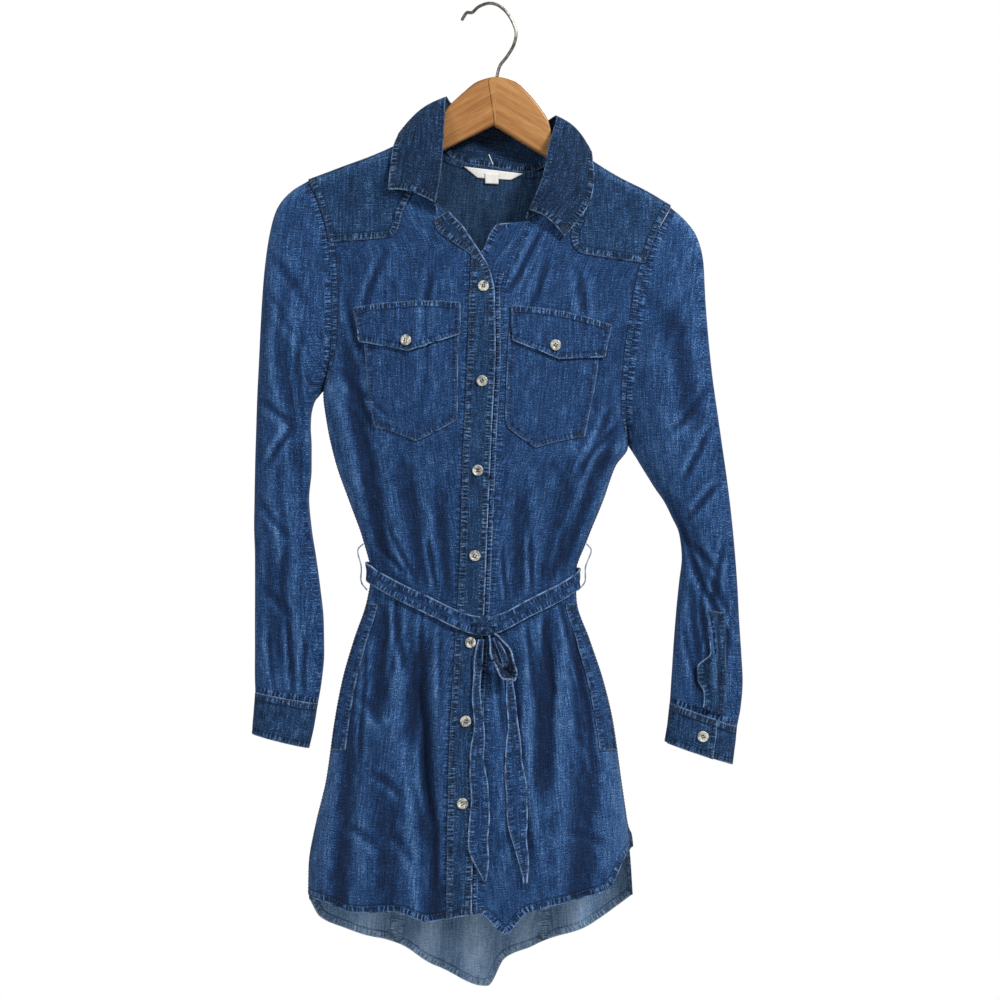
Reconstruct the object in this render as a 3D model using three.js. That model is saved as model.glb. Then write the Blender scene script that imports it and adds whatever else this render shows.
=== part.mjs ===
// A blue denim shirt dress on a wooden hanger, hung by its steel hook.
// Millimetres. +Z is up, the front faces -Y, and +X is the viewer's right.
// The origin is the inside of the hook's bend, where it hangs on its rail.
// "right" and "left" in the names are the wearer's: the wearer's right is the viewer's left.

import * as THREE from 'three';

// Driving dimensions of the cloth

const CLOTH = 1.2;
const DOUBLE_CLOTH = 1.8;
const SEAM_GAP = 0.35;
const RIDGE_GAP = 0.45;
const OVERLAY_GAP = 0.5;
const BUTTON_GAP = 0.45;
const CUFF_BUTTON_GAP = 0.2;
const SHOULDER_RIDGE = 9;
const SHOULDER_SPREAD = 110;
const HEM_START = -850;
const HEM_LEVEL = -920;

const BELT_WIDTH = 19;
const BELT_THICKNESS = 2;
const BELT_PINCH = 4;
const BELT_PINCH_REACH = 20;
const BELT_SLACK = 0.4;
const BELT_FRONT_LEVEL = -600;
const BELT_FRONT_STEPS = 24;
const BELT_BACK_STEPS = 17;

const BUTTON_RADIUS = 5.7;
const BUTTON_THICKNESS = 2.2;

// Driving dimensions of the hanger

const WOOD_THICKNESS = 12;
const WOOD_EDGE_ROUND = 4.8;
const WOOD_CLEARANCE = 1.6;
const WIRE_RADIUS = 1.7;

const table = (names, rows) => rows.map(
  (row) => Object.fromEntries(names.map((name, i) => [name, row[i]])));

// Half depths of the hollow body, front and back, at each height

const DEPTHS = table(['z', 'front', 'back'], [
  [-110, 20, 18],
  [-250, 40, 30],
  [-350, 47, 35],
  [-450, 46, 36],
  [-540, 41, 34],
  [-610, 38, 32],
  [-680, 46, 38],
  [-780, 58, 46],
  [-900, 68, 54],
  [-1060, 74, 62],
]);

// Silhouette of the body: armhole seam down to the armpit, then the side down to the hem

const EDGE_RIGHT = table(['z', 'x'], [
  [-185, -189],
  [-208, -178],
  [-249, -167],
  [-312, -163],
  [-353, -164],
  [-385, -168],
  [-407, -173],
  [-440, -169],
  [-480, -160],
  [-520, -146],
  [-562, -131],
  [-598, -123],
  [-625, -127],
  [-667, -141],
  [-709, -153],
  [-751, -161],
  [-814, -170],
  [-856, -180],
  [-898, -188],
  [-1060, -190],
]);

const EDGE_LEFT = table(['z', 'x'], [
  [-213, 192],
  [-239, 178],
  [-278, 164],
  [-324, 155],
  [-379, 147],
  [-423, 144],
  [-464, 147],
  [-484, 134],
  [-520, 121],
  [-562, 104],
  [-598, 92],
  [-625, 93],
  [-667, 107],
  [-709, 121],
  [-751, 131],
  [-814, 140],
  [-856, 146],
  [-898, 151],
  [-1060, 160],
]);

const SIDES = {
  right: { sign: -1, edge: EDGE_RIGHT, shoulder: -185, armpit: -407 },
  left: { sign: 1, edge: EDGE_LEFT, shoulder: -213, armpit: -464 },
};

// Shoulder seams, and the straight ridge line between them across the neck

const SHOULDER = table(['x', 'z'], [
  [-200, -189],
  [-155, -172],
  [-120, -159],
  [-94, -147],
  [-61, -124],
  [-45, -116],
  [68, -136],
  [84, -145],
  [111, -166],
  [139, -183],
  [165, -196],
  [200, -217],
]);

// How far the wall has turned edge-on at its outer boundary:
// 0 beside the shoulder, 1 from the armpit down, by share of the armhole's height,
// and the power of its round profile

const EDGE_TURN = table(['share', 'turn', 'round'], [
  [0, 0.1, 1],
  [0.25, 0.3, 1],
  [0.5, 0.45, 0.95],
  [0.75, 0.65, 0.75],
  [1, 1, 0.42],
]);

// Shirt-tail hems, front and back

const HEM_FRONT = table(['x', 'z'], [
  [-190, -932],
  [-167, -936],
  [-142, -944],
  [-95, -942],
  [-60, -951],
  [-40, -947],
  [-8, -942],
  [18, -963],
  [40, -942],
  [95, -930],
  [125, -921],
  [147, -886],
  [165, -880],
]);

const HEM_BACK = table(['x', 'z'], [
  [-192, -930],
  [-178, -962],
  [-150, -977],
  [-95, -996],
  [-55, -1020],
  [-1, -1042],
  [18, -1012],
  [50, -996],
  [104, -975],
  [140, -948],
  [162, -925],
]);

// The dip of the tied belt across the front, and its level run across the back

const BELT_FRONT = table(['x', 'z'], [
  [-128, -590],
  [-121, -596],
  [-65, -626],
  [-3, -650],
  [43, -630],
  [92, -602],
  [98, -594],
]);
const BELT_BACK_Z = -590;

// Long soft folds: the line of each, its half width, and its depth into the body

const FOLD_COLUMNS = ['x1', 'z1', 'x2', 'z2', 'width', 'depth'];

const FOLDS_FRONT = table(FOLD_COLUMNS, [
  [-152, -340, -106, -600, 11, 8],
  [142, -425, 74, -600, 10, 8],
  [-88, -470, -66, -615, 12, 5],
  [88, -480, 60, -610, 12, 5],
  [-52, -500, -38, -628, 10, 5],
  [36, -500, 30, -625, 10, 5],
  [-80, -628, -46, -985, 13, 13],
  [63, -626, 56, -820, 12, 12],
  [-108, -612, -114, -740, 11, 8],
  [87, -612, 104, -770, 11, 7],
  [22, -650, 34, -880, 10, 7],
  [-58, -640, -82, -770, 12, 5],
  [112, -740, 88, -990, 17, 7],
  [-140, -690, -156, -970, 12, 6],
  [-108, -780, -98, -990, 18, 5],
]);

const FOLDS_BACK = table(FOLD_COLUMNS, [
  [-140, -360, -96, -585, 12, 7],
  [125, -400, 72, -585, 12, 7],
  [-62, -430, -46, -585, 13, 6],
  [44, -430, 32, -585, 13, 6],
  [-8, -470, -8, -585, 12, 5],
  [-98, -600, -130, -1000, 15, 9],
  [-48, -600, -66, -1050, 15, 9],
  [-8, -600, -14, -1060, 15, 8],
  [32, -600, 40, -1040, 15, 9],
  [72, -600, 96, -1000, 15, 9],
]);

const FOLDS_SLEEVES = table(FOLD_COLUMNS, [
  [-213, -330, -194, -500, 9, 5],
  [-224, -560, -214, -700, 11, 4],
  [178, -500, 246, -640, 10, 6],
  [214, -590, 222, -720, 9, 6],
  [196, -300, 212, -440, 13, 4],
]);

// Rows and columns that divide the front and back panels

const FRONT_LEVELS = [0, 0.012, 0.04, 0.08, 0.17, 0.36, 0.6, 0.82, 1];
const PANEL_JOIN = -290;
const PANEL_LEVELS = [
  -325, -360, -390, -414, -437, -470, -505, -540, -572, -592, -610, -628, -648, -672,
  -705, -742, -780, -815, HEM_START, -885, HEM_LEVEL,
];
const FRONT_COLUMNS = [0, 0.1, 0.21, 0.32, 0.43, 0.54, 0.65, 0.76, 0.86, 0.93, 0.98, 1];
const YOKE_OUTER_COLUMN = 0.985;
const YOKE_ROW_GAP = 2;
const BACK_CENTRE_COLUMNS = [
  0, 0.11, 0.17, 0.227, 0.233, 0.256, 0.33, 0.46, 0.6, 0.71, 0.757, 0.7817, 0.788, 0.86, 1,
];
const BACK_SIDE_COLUMNS = [0, 0.35, 0.65, 0.86, 0.96, 1];

// Edges of the fronts at the neck and beside the placket, from the neck point down

const FRONT_RIGHT_INNER = table(['z', 'x'], [
  [-124, -61],
  [-165, -66],
  [-200, -58],
  [-222, -43],
  [-240, -26],
  [-256, -18],
  [-313, -18],
  [-404, -21],
  [-495, -25],
  [-576, -27],
  [-667, -32],
  [-775, -38],
  [-960, -41],
]);

const PLACKET_EDGE = table(['z', 'x'], [
  [-300, 7],
  [-359, 8],
  [-450, 4],
  [-541, 0],
  [-639, -4],
  [-745, -10],
  [-827, -14],
  [-960, -17],
]);

const UNDER_PLACKET_REVEAL = 5.5;
const PLACKET_WIDTH = 27;

const FRONT_LEFT_INNER_TOP = table(['z', 'x'], [
  [-145, 84],
  [-180, 84],
  [-212, 64],
  [-229, 43],
  [-255, 31],
  [-284, 17],
  [-300, 13.5],
]);

// The placket band, turned back above the first button: both edges, row by row

const PLACKET_RIGHT_TOP = table(['x1', 'z1', 'x2', 'z2'], [
  [-56, -228, -41, -220],
  [-54, -237, -35, -227],
  [-43, -248, -27, -235],
  [-30, -257, -19, -247],
  [-17, -268, -8, -264],
  [-18, -282, 1, -279],
  [-18, -298, 6, -297],
]);

const PLACKET_LEFT_TOP = table(['x1', 'z1', 'z2'], [
  [9, -233, -230],
  [2, -243, -241],
  [-3, -256, -256],
  [-10, -268, -270],
  [-16, -290, -290],
]);

const BUTTON_LEVELS = [-299, -397, -489, -577, -667, -747, -830];

// Collar: neck seam, roll line and leaf edge at each station round the neck

const COLLAR_COLUMNS = [
  'station', 'face', 'out', 'baseX', 'baseZ', 'rollX', 'rollY', 'rollZ', 'leafX', 'leafY', 'leafZ',
];
const COLLAR = table(COLLAR_COLUMNS, [
  ['right end', -1, 2.6, -53, -223, -54, -34, -214, -104, -26, -199],
  ['right front', -1, 2.6, -56, -203, -49, -31, -184, -102, -21, -176],
  ['right side', -1, 0.4, -64.3, -166, -46, -22, -146, -99, -15, -153],
  ['right slope', -1, 0, -60.5, -132, -45, -13, -118, -96, -8, -143],
  ['right top', 0, 0, -59.5, -122, -44, -1, -98, -92, 2, -134],
  ['right turn', 1, 0, -57.5, -131, -40, 14, -101, -83, 18, -142],
  ['right back', 1, 0, -38, -159, -28, 27, -112, -60, 36, -168],
  ['back', 1, 0, 4, -169, 6, 33, -122, 8, 38, -182],
  ['left back', 1, 0, 48, -173, 46, 27, -129, 82, 36, -192],
  ['left turn', 1, 0, 79.5, -152, 64, 14, -120, 100, 18, -164],
  ['left top', 0, 0, 82.5, -143, 72, -1, -118, 108, 2, -154],
  ['left slope', -1, 0, 82, -154, 67, -13, -138, 110, -12, -168],
  ['left side', -1, 0.4, 80.3, -182, 63, -21, -152, 111, -18, -184],
  ['left front', -1, 0.8, 60, -212, 56, -32, -188, 106, -24, -212],
  ['left end', -1, 1, 40, -229, 42, -36, -221, 80, -34, -249],
]);
const COLLAR_STEPS = 40;
const STAND_SHARES = [0, 0.5, 0.86];
const LEAF_SHARES = [0, 0.12, 0.4, 0.7, 1];
const LEAF_BELLY = 5;

const BACK_NECK = table(['x', 'z'], [
  [-61, -124.5],
  [-59.5, -130],
  [-54, -146],
  [-40, -160],
  [4, -171],
  [50, -175],
  [76, -163],
  [82.5, -151],
  [84, -145.5],
]);

const BACK_SEAM_RIGHT = table(['z', 'x'], [
  [-155, -120],
  [-400, -88],
  [-590, -66],
  [-1000, -108],
]);

const BACK_SEAM_LEFT = table(['z', 'x'], [
  [-183, 139],
  [-400, 70],
  [-590, 42],
  [-1000, 66],
]);

// Western yokes, pockets and flaps: level of each edge by its place across the front

const YOKE_RIGHT_LINE = table(['x', 'z'], [
  [-170, -251],
  [-114, -247],
  [-103, -238],
  [-92, -224],
  [-80, -209],
  [-60, -184],
]);

const YOKE_LEFT_LINE = table(['x', 'z'], [
  [60, -187],
  [84, -217],
  [94, -233],
  [104, -255],
  [113, -263],
  [126, -266],
  [170, -273],
]);

const POCKETS = {
  right: {
    inner: [[-336, -30], [-437, -31]],
    outer: [[-336, -129], [-400, -124], [-444, -115]],
    point: [-74, -459],
    corners: [-437, -444],
    top: -337,
    columns: [1, 2, 3, 4, 5],
  },
  left: {
    inner: [[-336, 22], [-437, 18], [-446, 21]],
    outer: [[-336, 118], [-377, 114], [-454, 98]],
    point: [50, -466],
    corners: [-445, -455],
    top: -345,
    columns: [1, 2, 3, 4],
  },
};

const FLAPS = {
  right: {
    x1: -28, top1: -316, bottom1: -349, lean1: 0,
    x2: -140, top2: -320, bottom2: -354, lean2: 9,
    point: [-81, -366],
  },
  left: {
    x1: 24, top1: -319, bottom1: -355, lean1: 1,
    x2: 129, top2: -338, bottom2: -371, lean2: -9,
    point: [73, -374],
  },
};
const FLAP_RISE = 4;

const POCKET_BUTTONS = { right: [-83, -355], left: [69, -360] };

// Sleeve sections from the armhole down: outer and inner point, half depth, middle,
// and how much of the armhole's own shape each keeps

const SLEEVE_COLUMNS = ['ox', 'oz', 'ix', 'iz', 'depth', 'y', 'share'];

const SLEEVE_RIGHT = table(SLEEVE_COLUMNS, [
  [-189.6, -185, -174.6, -406, 22, 0, 1],
  [-207, -196, -177, -409, 24, 0, 0.75],
  [-222, -215, -179, -412, 27, 0, 0.5],
  [-230, -245, -181, -414.5, 29, 0, 0.3],
  [-235, -285, -182.5, -418, 30, -1, 0.15],
  [-238, -330, -184, -423, 30, -1, 0.05],
  [-240, -375, -185.5, -432, 29, -2, 0],
  [-242, -415, -186, -445, 28, -2, 0],
  [-243, -450, -185, -463, 27, -3, 0],
  [-244, -483, -185, -488, 25, -3, 0],
  [-244.5, -515, -187.5, -518, 24, -4, 0],
  [-245, -547, -185, -548, 23, -4, 0],
  [-244, -580, -180, -580, 22, -5, 0],
  [-244, -613, -175.5, -613, 21, -5, 0],
  [-244, -645, -172, -647, 20, -6, 0],
  [-244, -674, -171.5, -680, 19, -6, 0],
  [-244, -700, -174, -709, 18, -7, 0],
  [-243.5, -721, -178, -733, 17, -7, 0],
]);

const SLEEVE_LEFT = table(SLEEVE_COLUMNS, [
  [192.6, -213, 148.6, -463, 22, 0, 1],
  [207, -226, 150.5, -466, 24, 0, 0.75],
  [219, -243, 152, -469, 27, -1, 0.5],
  [226, -270, 153.5, -472, 29, -1, 0.3],
  [228, -310, 155.5, -475.5, 30, -2, 0.15],
  [231, -350, 158, -480, 30, -3, 0.05],
  [235, -390, 161.5, -486, 29, -4, 0],
  [240, -427, 167, -495, 28, -6, 0],
  [244.5, -460, 175, -508, 27, -8, 0],
  [249, -492, 184, -521, 26, -9, 0],
  [253, -524, 192, -537, 25, -10, 0],
  [256, -554, 200, -556, 24, -12, 0],
  [258.5, -584, 202.5, -580, 23, -13, 0],
  [260.5, -614, 199.5, -606, 22, -14, 0],
  [262, -645, 196.5, -635, 21, -15, 0],
  [264, -677, 194, -665, 20, -16, 0],
  [265.5, -708, 192, -694, 19, -17, 0],
  [263.5, -734, 190.5, -716, 18, -18, 0],
  [259.5, -756, 189.5, -732, 17, -18, 0],
]);

const CUFFS = {
  right: table(SLEEVE_COLUMNS, [
    [-243.6, -721.5, -178, -733.5, 17.2, -7, 0],
    [-245.5, -743, -182, -757, 17.6, -7, 0],
    [-247, -764, -187, -779, 17, -7, 0],
  ]),
  left: table(SLEEVE_COLUMNS, [
    [259.6, -756.5, 189.4, -732.5, 17.2, -18, 0],
    [257.5, -776, 187, -752, 17.6, -18, 0],
    [255, -795, 184, -771, 17, -18, 0],
  ]),
};
const TUBE_SIDES = 18;
const PLACKET_SIDES = [3, 4, 5];

// Belt ends and the bow's loop below the knot

const KNOT_CENTRE = { x: -3, z: -650 };
const KNOT_SIZE = { width: 23, height: 20, depth: 11 };
const TAIL_THICKNESS = 2;

const TAIL_COLUMNS = ['z', 'x1', 'x2', 'out'];
const TAIL_RIGHT = table(TAIL_COLUMNS, [
  [-663, -10, -3, 7],
  [-682, -14, -6, 7],
  [-715, -15, -7, 6],
  [-752, -15, -4, 6],
  [-782, -18, -3, 4.3],
  [-812, -18, 0, 4.2],
  [-845, -18, 2, 4.2],
  [-872, -20, 1, 5],
  [-908, -5, -1, 5],
]);
const TAIL_LEFT = table(TAIL_COLUMNS, [
  [-662, 5, 11, 5],
  [-690, 15, 23, 5],
  [-718, 20, 28, 5],
  [-752, 20, 31, 5],
  [-790, 18, 37, 8],
  [-822, 18, 40, 10],
  [-855, 22, 41, 10],
  [-885, 30, 41, 8],
  [-910, 37, 40, 8],
]);

const LOOP_PATH = table(['x', 'z', 'out'], [
  [0.6, -658.5, 9],
  [3, -675, 12],
  [9, -692, 12],
  [18, -702, 11],
  [27, -703, 11],
  [29, -694, 12],
  [25, -678, 14],
  [17, -664, 14],
  [6.6, -656, 11],
]);
const LOOP_WIDTH = 13;

// Welts of the side seam pockets, on the front beside the side seam

const WELT_LEVELS = [-628, -648, -672, -705, -742, -780];
const WELT_COLUMNS = [8, 9, 10];

// Hanger: upper edge of the wood in the neck, then under the shoulders

const WOOD_TOP = table(['x', 'z'], [
  [-48, -113],
  [-39, -104],
  [-27, -93],
  [-10, -80],
  [9, -75.5],
  [28, -80],
  [41, -91],
  [54, -106],
  [66, -124],
]);
const NECK_MIDDLE = 11.5;
const NECK_REACH = 95;
const WOOD_ENDS = { right: -182, left: 185 };
const WOOD_BOTTOM = table(['x', 'z'], [
  [-182, -203],
  [-110, -186],
  [-45, -152],
  [6, -127],
  [60, -160],
  [115, -199],
  [185, -231],
]);

const HOOK_PATH = table(['x', 'z'], [
  [-27, -15],
  [-22, -8],
  [-17, -8],
  [-10, -2],
  [0, 1.7],
  [9, 0.5],
  [18, -6],
  [25, -16],
  [29.5, -29],
  [27, -42],
  [20, -54],
  [12.5, -64],
  [9.5, -74.8],
]);
const HOOK_STEPS = 36;

// Reading the tables

const point = (x, y, z) => new THREE.Vector3(x, y, z);
const mix = (a, b, share) => a + (b - a) * share;
const clamp = (value, low, high) => Math.min(high, Math.max(low, value));

function smooth(from, to, value) {
  const share = clamp((value - from) / (to - from), 0, 1);
  return share * share * (3 - 2 * share);
}

// A column read as a smooth curve that never overshoots its rows
function read(rows, by, name, at) {
  const last = rows.length - 1;
  const falling = rows[last][by] < rows[0][by] ? -1 : 1;
  const place = at * falling;
  if (place <= rows[0][by] * falling) return rows[0][name];
  if (place >= rows[last][by] * falling) return rows[last][name];
  const i = rows.findIndex((row, n) => n > 0 && place <= row[by] * falling) - 1;
  const slope = (n) => (rows[n + 1][name] - rows[n][name]) / (rows[n + 1][by] - rows[n][by]);
  const tangent = (n) => {
    if (n === 0) return slope(0);
    if (n === last) return slope(last - 1);
    const before = slope(n - 1);
    const after = slope(n);
    return before * after <= 0 ? 0 : (2 * before * after) / (before + after);
  };
  const step = rows[i + 1][by] - rows[i][by];
  const t = (at - rows[i][by]) / step;
  const t2 = t * t;
  const t3 = t2 * t;
  return rows[i][name] * (2 * t3 - 3 * t2 + 1) + rows[i + 1][name] * (3 * t2 - 2 * t3)
    + step * (tangent(i) * (t3 - 2 * t2 + t) + tangent(i + 1) * (t3 - t2));
}

const edgeX = (side, z) => read(SIDES[side].edge, 'z', 'x', z);
const shoulderZ = (x) => read(SHOULDER, 'x', 'z', x);
const beltZ = (x) => read(BELT_FRONT, 'x', 'z', x);

function foldDepth(folds, x, z) {
  let depth = 0;
  for (const fold of folds) {
    const share = (z - fold.z1) / (fold.z2 - fold.z1);
    const line = mix(fold.x1, fold.x2, share);
    const fade = smooth(-0.05, 0.35, share) * smooth(1.1, 0.85, share);
    depth += fold.depth * fade * Math.exp(-(((x - line) / fold.width) ** 2));
  }
  return depth;
}

// Depth of the front (face -1) or back (face 1) wall at one place
function bodyY(face, x, z) {
  const front = face < 0;
  const rightX = edgeX('right', z);
  const leftX = edgeX('left', z);
  const middle = (rightX + leftX) / 2;
  const side = SIDES[x < middle ? 'right' : 'left'];
  const across = clamp(Math.abs(x - middle) / ((leftX - rightX) / 2), 0, 1);
  const share = clamp((z - side.shoulder) / (side.armpit - side.shoulder), 0, 1);
  const turn = read(EDGE_TURN, 'share', 'turn', share);
  const round = read(EDGE_TURN, 'share', 'round', share);
  const profile = 1 - turn * (1 - (1 - across * across) ** round);
  const drop = Math.max(shoulderZ(x) - z, 0);
  const ridge = Math.sqrt(1 - (1 - Math.min(drop / SHOULDER_RIDGE, 1)) ** 2) * SHOULDER_RIDGE;
  const full = read(DEPTHS, 'z', front ? 'front' : 'back', z);
  const spread = (full - SHOULDER_RIDGE) * (1 - Math.exp(-drop / SHOULDER_SPREAD));
  const beltAway = (z - (front ? beltZ(x) : BELT_BACK_Z)) / BELT_PINCH_REACH;
  const pinch = Math.exp(-beltAway * beltAway);
  const folds = foldDepth(front ? FOLDS_FRONT : FOLDS_BACK, x, z) * (1 - pinch) + BELT_PINCH * pinch;
  const placketAway = (x - read(PLACKET_EDGE, 'z', 'x', z) + PLACKET_WIDTH / 2) / PLACKET_WIDTH;
  const stiff = front ? Math.exp(-(placketAway ** 4)) : 0;
  const calm = (1 - across ** 8) * (1 - stiff);
  return face * Math.max((ridge + spread) * profile - folds * calm, 0);
}

const hemZ = (face, x) => read(face < 0 ? HEM_FRONT : HEM_BACK, 'x', 'z', x);

// A level below HEM_START is stretched so that the last one is the hem
function towardsHem(face, x, z) {
  return z + (hemZ(face, x) - HEM_LEVEL) * smooth(HEM_START, HEM_LEVEL, z);
}

// A point on the body's outer face, moved straight out by a distance
function onBody(face, x, z, out = 0) {
  const step = 2;
  const slopeX = (bodyY(face, x + step, z) - bodyY(face, x - step, z)) / (2 * step);
  const slopeZ = (bodyY(face, x, z + step) - bodyY(face, x, z - step)) / (2 * step);
  const normal = point(-slopeX, 1, -slopeZ).multiplyScalar(face).normalize();
  const p = point(x, bodyY(face, x, z), z).addScaledVector(normal, out);
  p.place = { face, x, z, out };
  return p;
}

// Near the silhouette and the ridge the surface turns edge-on, and the grid gives its normal
function edgeOn({ x, z }) {
  const rightX = edgeX('right', z);
  const leftX = edgeX('left', z);
  const across = Math.abs(x - (rightX + leftX) / 2) / ((leftX - rightX) / 2);
  return across > 0.95 || shoulderZ(x) - z < SHOULDER_RIDGE;
}

// Walls: a grid of outer points, given a thickness towards the inside

function gridNormals(grid, closed) {
  const rows = grid.length;
  const columns = grid[0].length;
  return grid.map((row, j) => row.map((_, i) => {
    const left = closed ? (i + columns - 1) % columns : Math.max(i - 1, 0);
    const right = closed ? (i + 1) % columns : Math.min(i + 1, columns - 1);
    const along = grid[j][right].clone().sub(grid[j][left]);
    const down = grid[Math.min(j + 1, rows - 1)][i].clone().sub(grid[Math.max(j - 1, 0)][i]);
    return along.cross(down).normalize();
  }));
}

function closedBody(vertices, faces) {
  const corners = faces.map((face) => face.map((n) => vertices[n]));
  const volume = corners.reduce((sum, [a, b, c]) => sum + a.dot(b.clone().cross(c)), 0);
  const index = faces.flatMap(([a, b, c]) => (volume < 0 ? [a, c, b] : [a, b, c]));
  const geometry = new THREE.BufferGeometry();
  geometry.setAttribute('position', new THREE.Float32BufferAttribute(vertices.flatMap((v) => v.toArray()), 3));
  geometry.setIndex(index);
  geometry.computeVertexNormals();
  return geometry;
}

// core is a point inside the hollow that the wall surrounds, for each outer point
function wall(grid, thickness, core, closed = false) {
  const rows = grid.length;
  const columns = grid[0].length;
  const normals = gridNormals(grid, closed);
  let facing = 0;
  grid.forEach((row, j) => row.forEach((p, i) => {
    facing += Math.sign(normals[j][i].dot(p.clone().sub(core(p))));
  }));
  const inward = facing > 0 ? -thickness : thickness;
  const outer = grid.flat();
  const inner = grid.flatMap((row, j) => row.map((p, i) => (p.place && !edgeOn(p.place)
    ? onBody(p.place.face, p.place.x, p.place.z, p.place.out - thickness)
    : p.clone().addScaledVector(normals[j][i], inward))));
  const id = (j, i, inside) => j * columns + (i % columns) + (inside ? outer.length : 0);
  const faces = [];
  const quad = (a, b, c, d) => faces.push([a, b, c], [a, c, d]);
  const cells = closed ? columns : columns - 1;
  for (let j = 0; j < rows - 1; j += 1) {
    for (let i = 0; i < cells; i += 1) {
      quad(id(j, i), id(j, i + 1), id(j + 1, i + 1), id(j + 1, i));
      quad(id(j, i, true), id(j + 1, i, true), id(j + 1, i + 1, true), id(j, i + 1, true));
    }
    if (!closed) {
      quad(id(j, 0), id(j + 1, 0), id(j + 1, 0, true), id(j, 0, true));
      quad(id(j, cells), id(j, cells, true), id(j + 1, cells, true), id(j + 1, cells));
    }
  }
  for (let i = 0; i < cells; i += 1) {
    quad(id(0, i), id(0, i, true), id(0, i + 1, true), id(0, i + 1));
    quad(id(rows - 1, i), id(rows - 1, i + 1), id(rows - 1, i + 1, true), id(rows - 1, i, true));
  }
  return closedBody([...outer, ...inner], faces);
}

const bodyCore = (p) => point((edgeX('right', p.z) + edgeX('left', p.z)) / 2, 0, p.z);

// Finishes, and the group that gathers the pieces

const FINISHES = {
  denim: new THREE.MeshStandardMaterial({ color: 0x2f4d7a, roughness: 0.9 }),
  denimDark: new THREE.MeshStandardMaterial({ color: 0x243f68, roughness: 0.9 }),
  pearl: new THREE.MeshStandardMaterial({ color: 0xc9c6b4, roughness: 0.35 }),
  label: new THREE.MeshStandardMaterial({ color: 0xe8e6e0, roughness: 0.7 }),
  beech: new THREE.MeshStandardMaterial({ color: 0xc98b45, roughness: 0.45 }),
  steel: new THREE.MeshStandardMaterial({ color: 0x8a8478, roughness: 0.3, metalness: 1 }),
};

const dress = new THREE.Group();

function add(name, geometry, finish) {
  const mesh = new THREE.Mesh(geometry, FINISHES[finish]);
  mesh.name = name;
  dress.add(mesh);
  return mesh;
}

// Fronts

const INNER_EDGES = {
  right: (z) => read(FRONT_RIGHT_INNER, 'z', 'x', z),
  left: (z) => (z > -300
    ? read(FRONT_LEFT_INNER_TOP, 'z', 'x', z)
    : read(PLACKET_EDGE, 'z', 'x', z) + UNDER_PLACKET_REVEAL),
};
const NECK_POINTS = { right: { x: -61, z: -124 }, left: { x: 84, z: -145 } };

// Place of one column line of a front panel, at its upper rows by share and below by height
function frontUpper(side, level, column) {
  const neck = NECK_POINTS[side];
  const innerZ = mix(neck.z, PANEL_JOIN, level);
  const outerZ = mix(SIDES[side].shoulder, PANEL_JOIN, level);
  const sign = SIDES[side].sign;
  const innerX = INNER_EDGES[side](innerZ);
  const outerX = edgeX(side, outerZ) - sign * SEAM_GAP;
  const x = mix(innerX, outerX, column);
  const topX = mix(neck.x, edgeX(side, SIDES[side].shoulder) - sign * SEAM_GAP, column);
  const seam = shoulderZ(topX) - mix(neck.z, SIDES[side].shoulder, column);
  return { x, z: mix(innerZ, outerZ, column) + seam * (1 - level) };
}

function frontX(side, z, column) {
  const outer = edgeX(side, z) - SIDES[side].sign * (z < SIDES[side].armpit ? 0 : SEAM_GAP);
  return mix(INNER_EDGES[side](z), outer, column);
}

function onFront(side, z, column, out = 0) {
  const x = frontX(side, z, column);
  return onBody(-1, x, towardsHem(-1, x, z), out);
}

// Edges that meet at the ridge or at the side keep half a seam's gap between front and back
function parted(p, face) {
  if (Math.abs(p.y) >= RIDGE_GAP) return p;
  return point(p.x, face * RIDGE_GAP, p.z);
}

function frontGrid(side) {
  const upper = FRONT_LEVELS.map((level) => FRONT_COLUMNS.map((column) => {
    const { x, z } = frontUpper(side, level, column);
    return parted(onBody(-1, x, z), -1);
  }));
  const lower = PANEL_LEVELS.map((z) => FRONT_COLUMNS.map((column) => parted(onFront(side, z, column), -1)));
  return [...upper, ...lower];
}

function addFronts() {
  for (const side of ['right', 'left']) {
    add(`front_${side}`, wall(frontGrid(side), CLOTH, bodyCore), 'denim');
  }
}

// Western yokes: the front's own upper rows, moved out, down to the yoke line

function levelShare(side, column, z) {
  let low = 0;
  let high = 1;
  for (let i = 0; i < 24; i += 1) {
    const middle = (low + high) / 2;
    if (frontUpper(side, middle, column).z > z) low = middle;
    else high = middle;
  }
  return (low + high) / 2;
}

function addYokes() {
  const lines = { right: YOKE_RIGHT_LINE, left: YOKE_LEFT_LINE };
  const levels = FRONT_LEVELS.slice(0, 7);
  const columns = FRONT_COLUMNS.map((column) => Math.min(column, YOKE_OUTER_COLUMN));
  for (const side of ['right', 'left']) {
    const grid = levels.map((level, j) => columns.map((column) => {
      const rough = frontUpper(side, 0.5, column);
      const line = read(lines[side], 'x', 'z', rough.x) + (levels.length - 1 - j) * YOKE_ROW_GAP;
      const own = frontUpper(side, level, column).z;
      const share = j < levels.length - 1 && own > line ? level : levelShare(side, column, line);
      const { x, z } = frontUpper(side, share, column);
      return onBody(-1, x, z, OVERLAY_GAP + CLOTH);
    }));
    add(`yoke_${side}`, wall(grid, CLOTH, bodyCore), 'denimDark');
  }
}

// Back: a centre and two sides, joined by long seams

const BACK_SEAMS = {
  right: (z) => read(BACK_SEAM_RIGHT, 'z', 'x', z),
  left: (z) => read(BACK_SEAM_LEFT, 'z', 'x', z),
};

const backTop = (x) => (x > NECK_POINTS.right.x && x < NECK_POINTS.left.x
  ? read(BACK_NECK, 'x', 'z', x)
  : shoulderZ(x));

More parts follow.
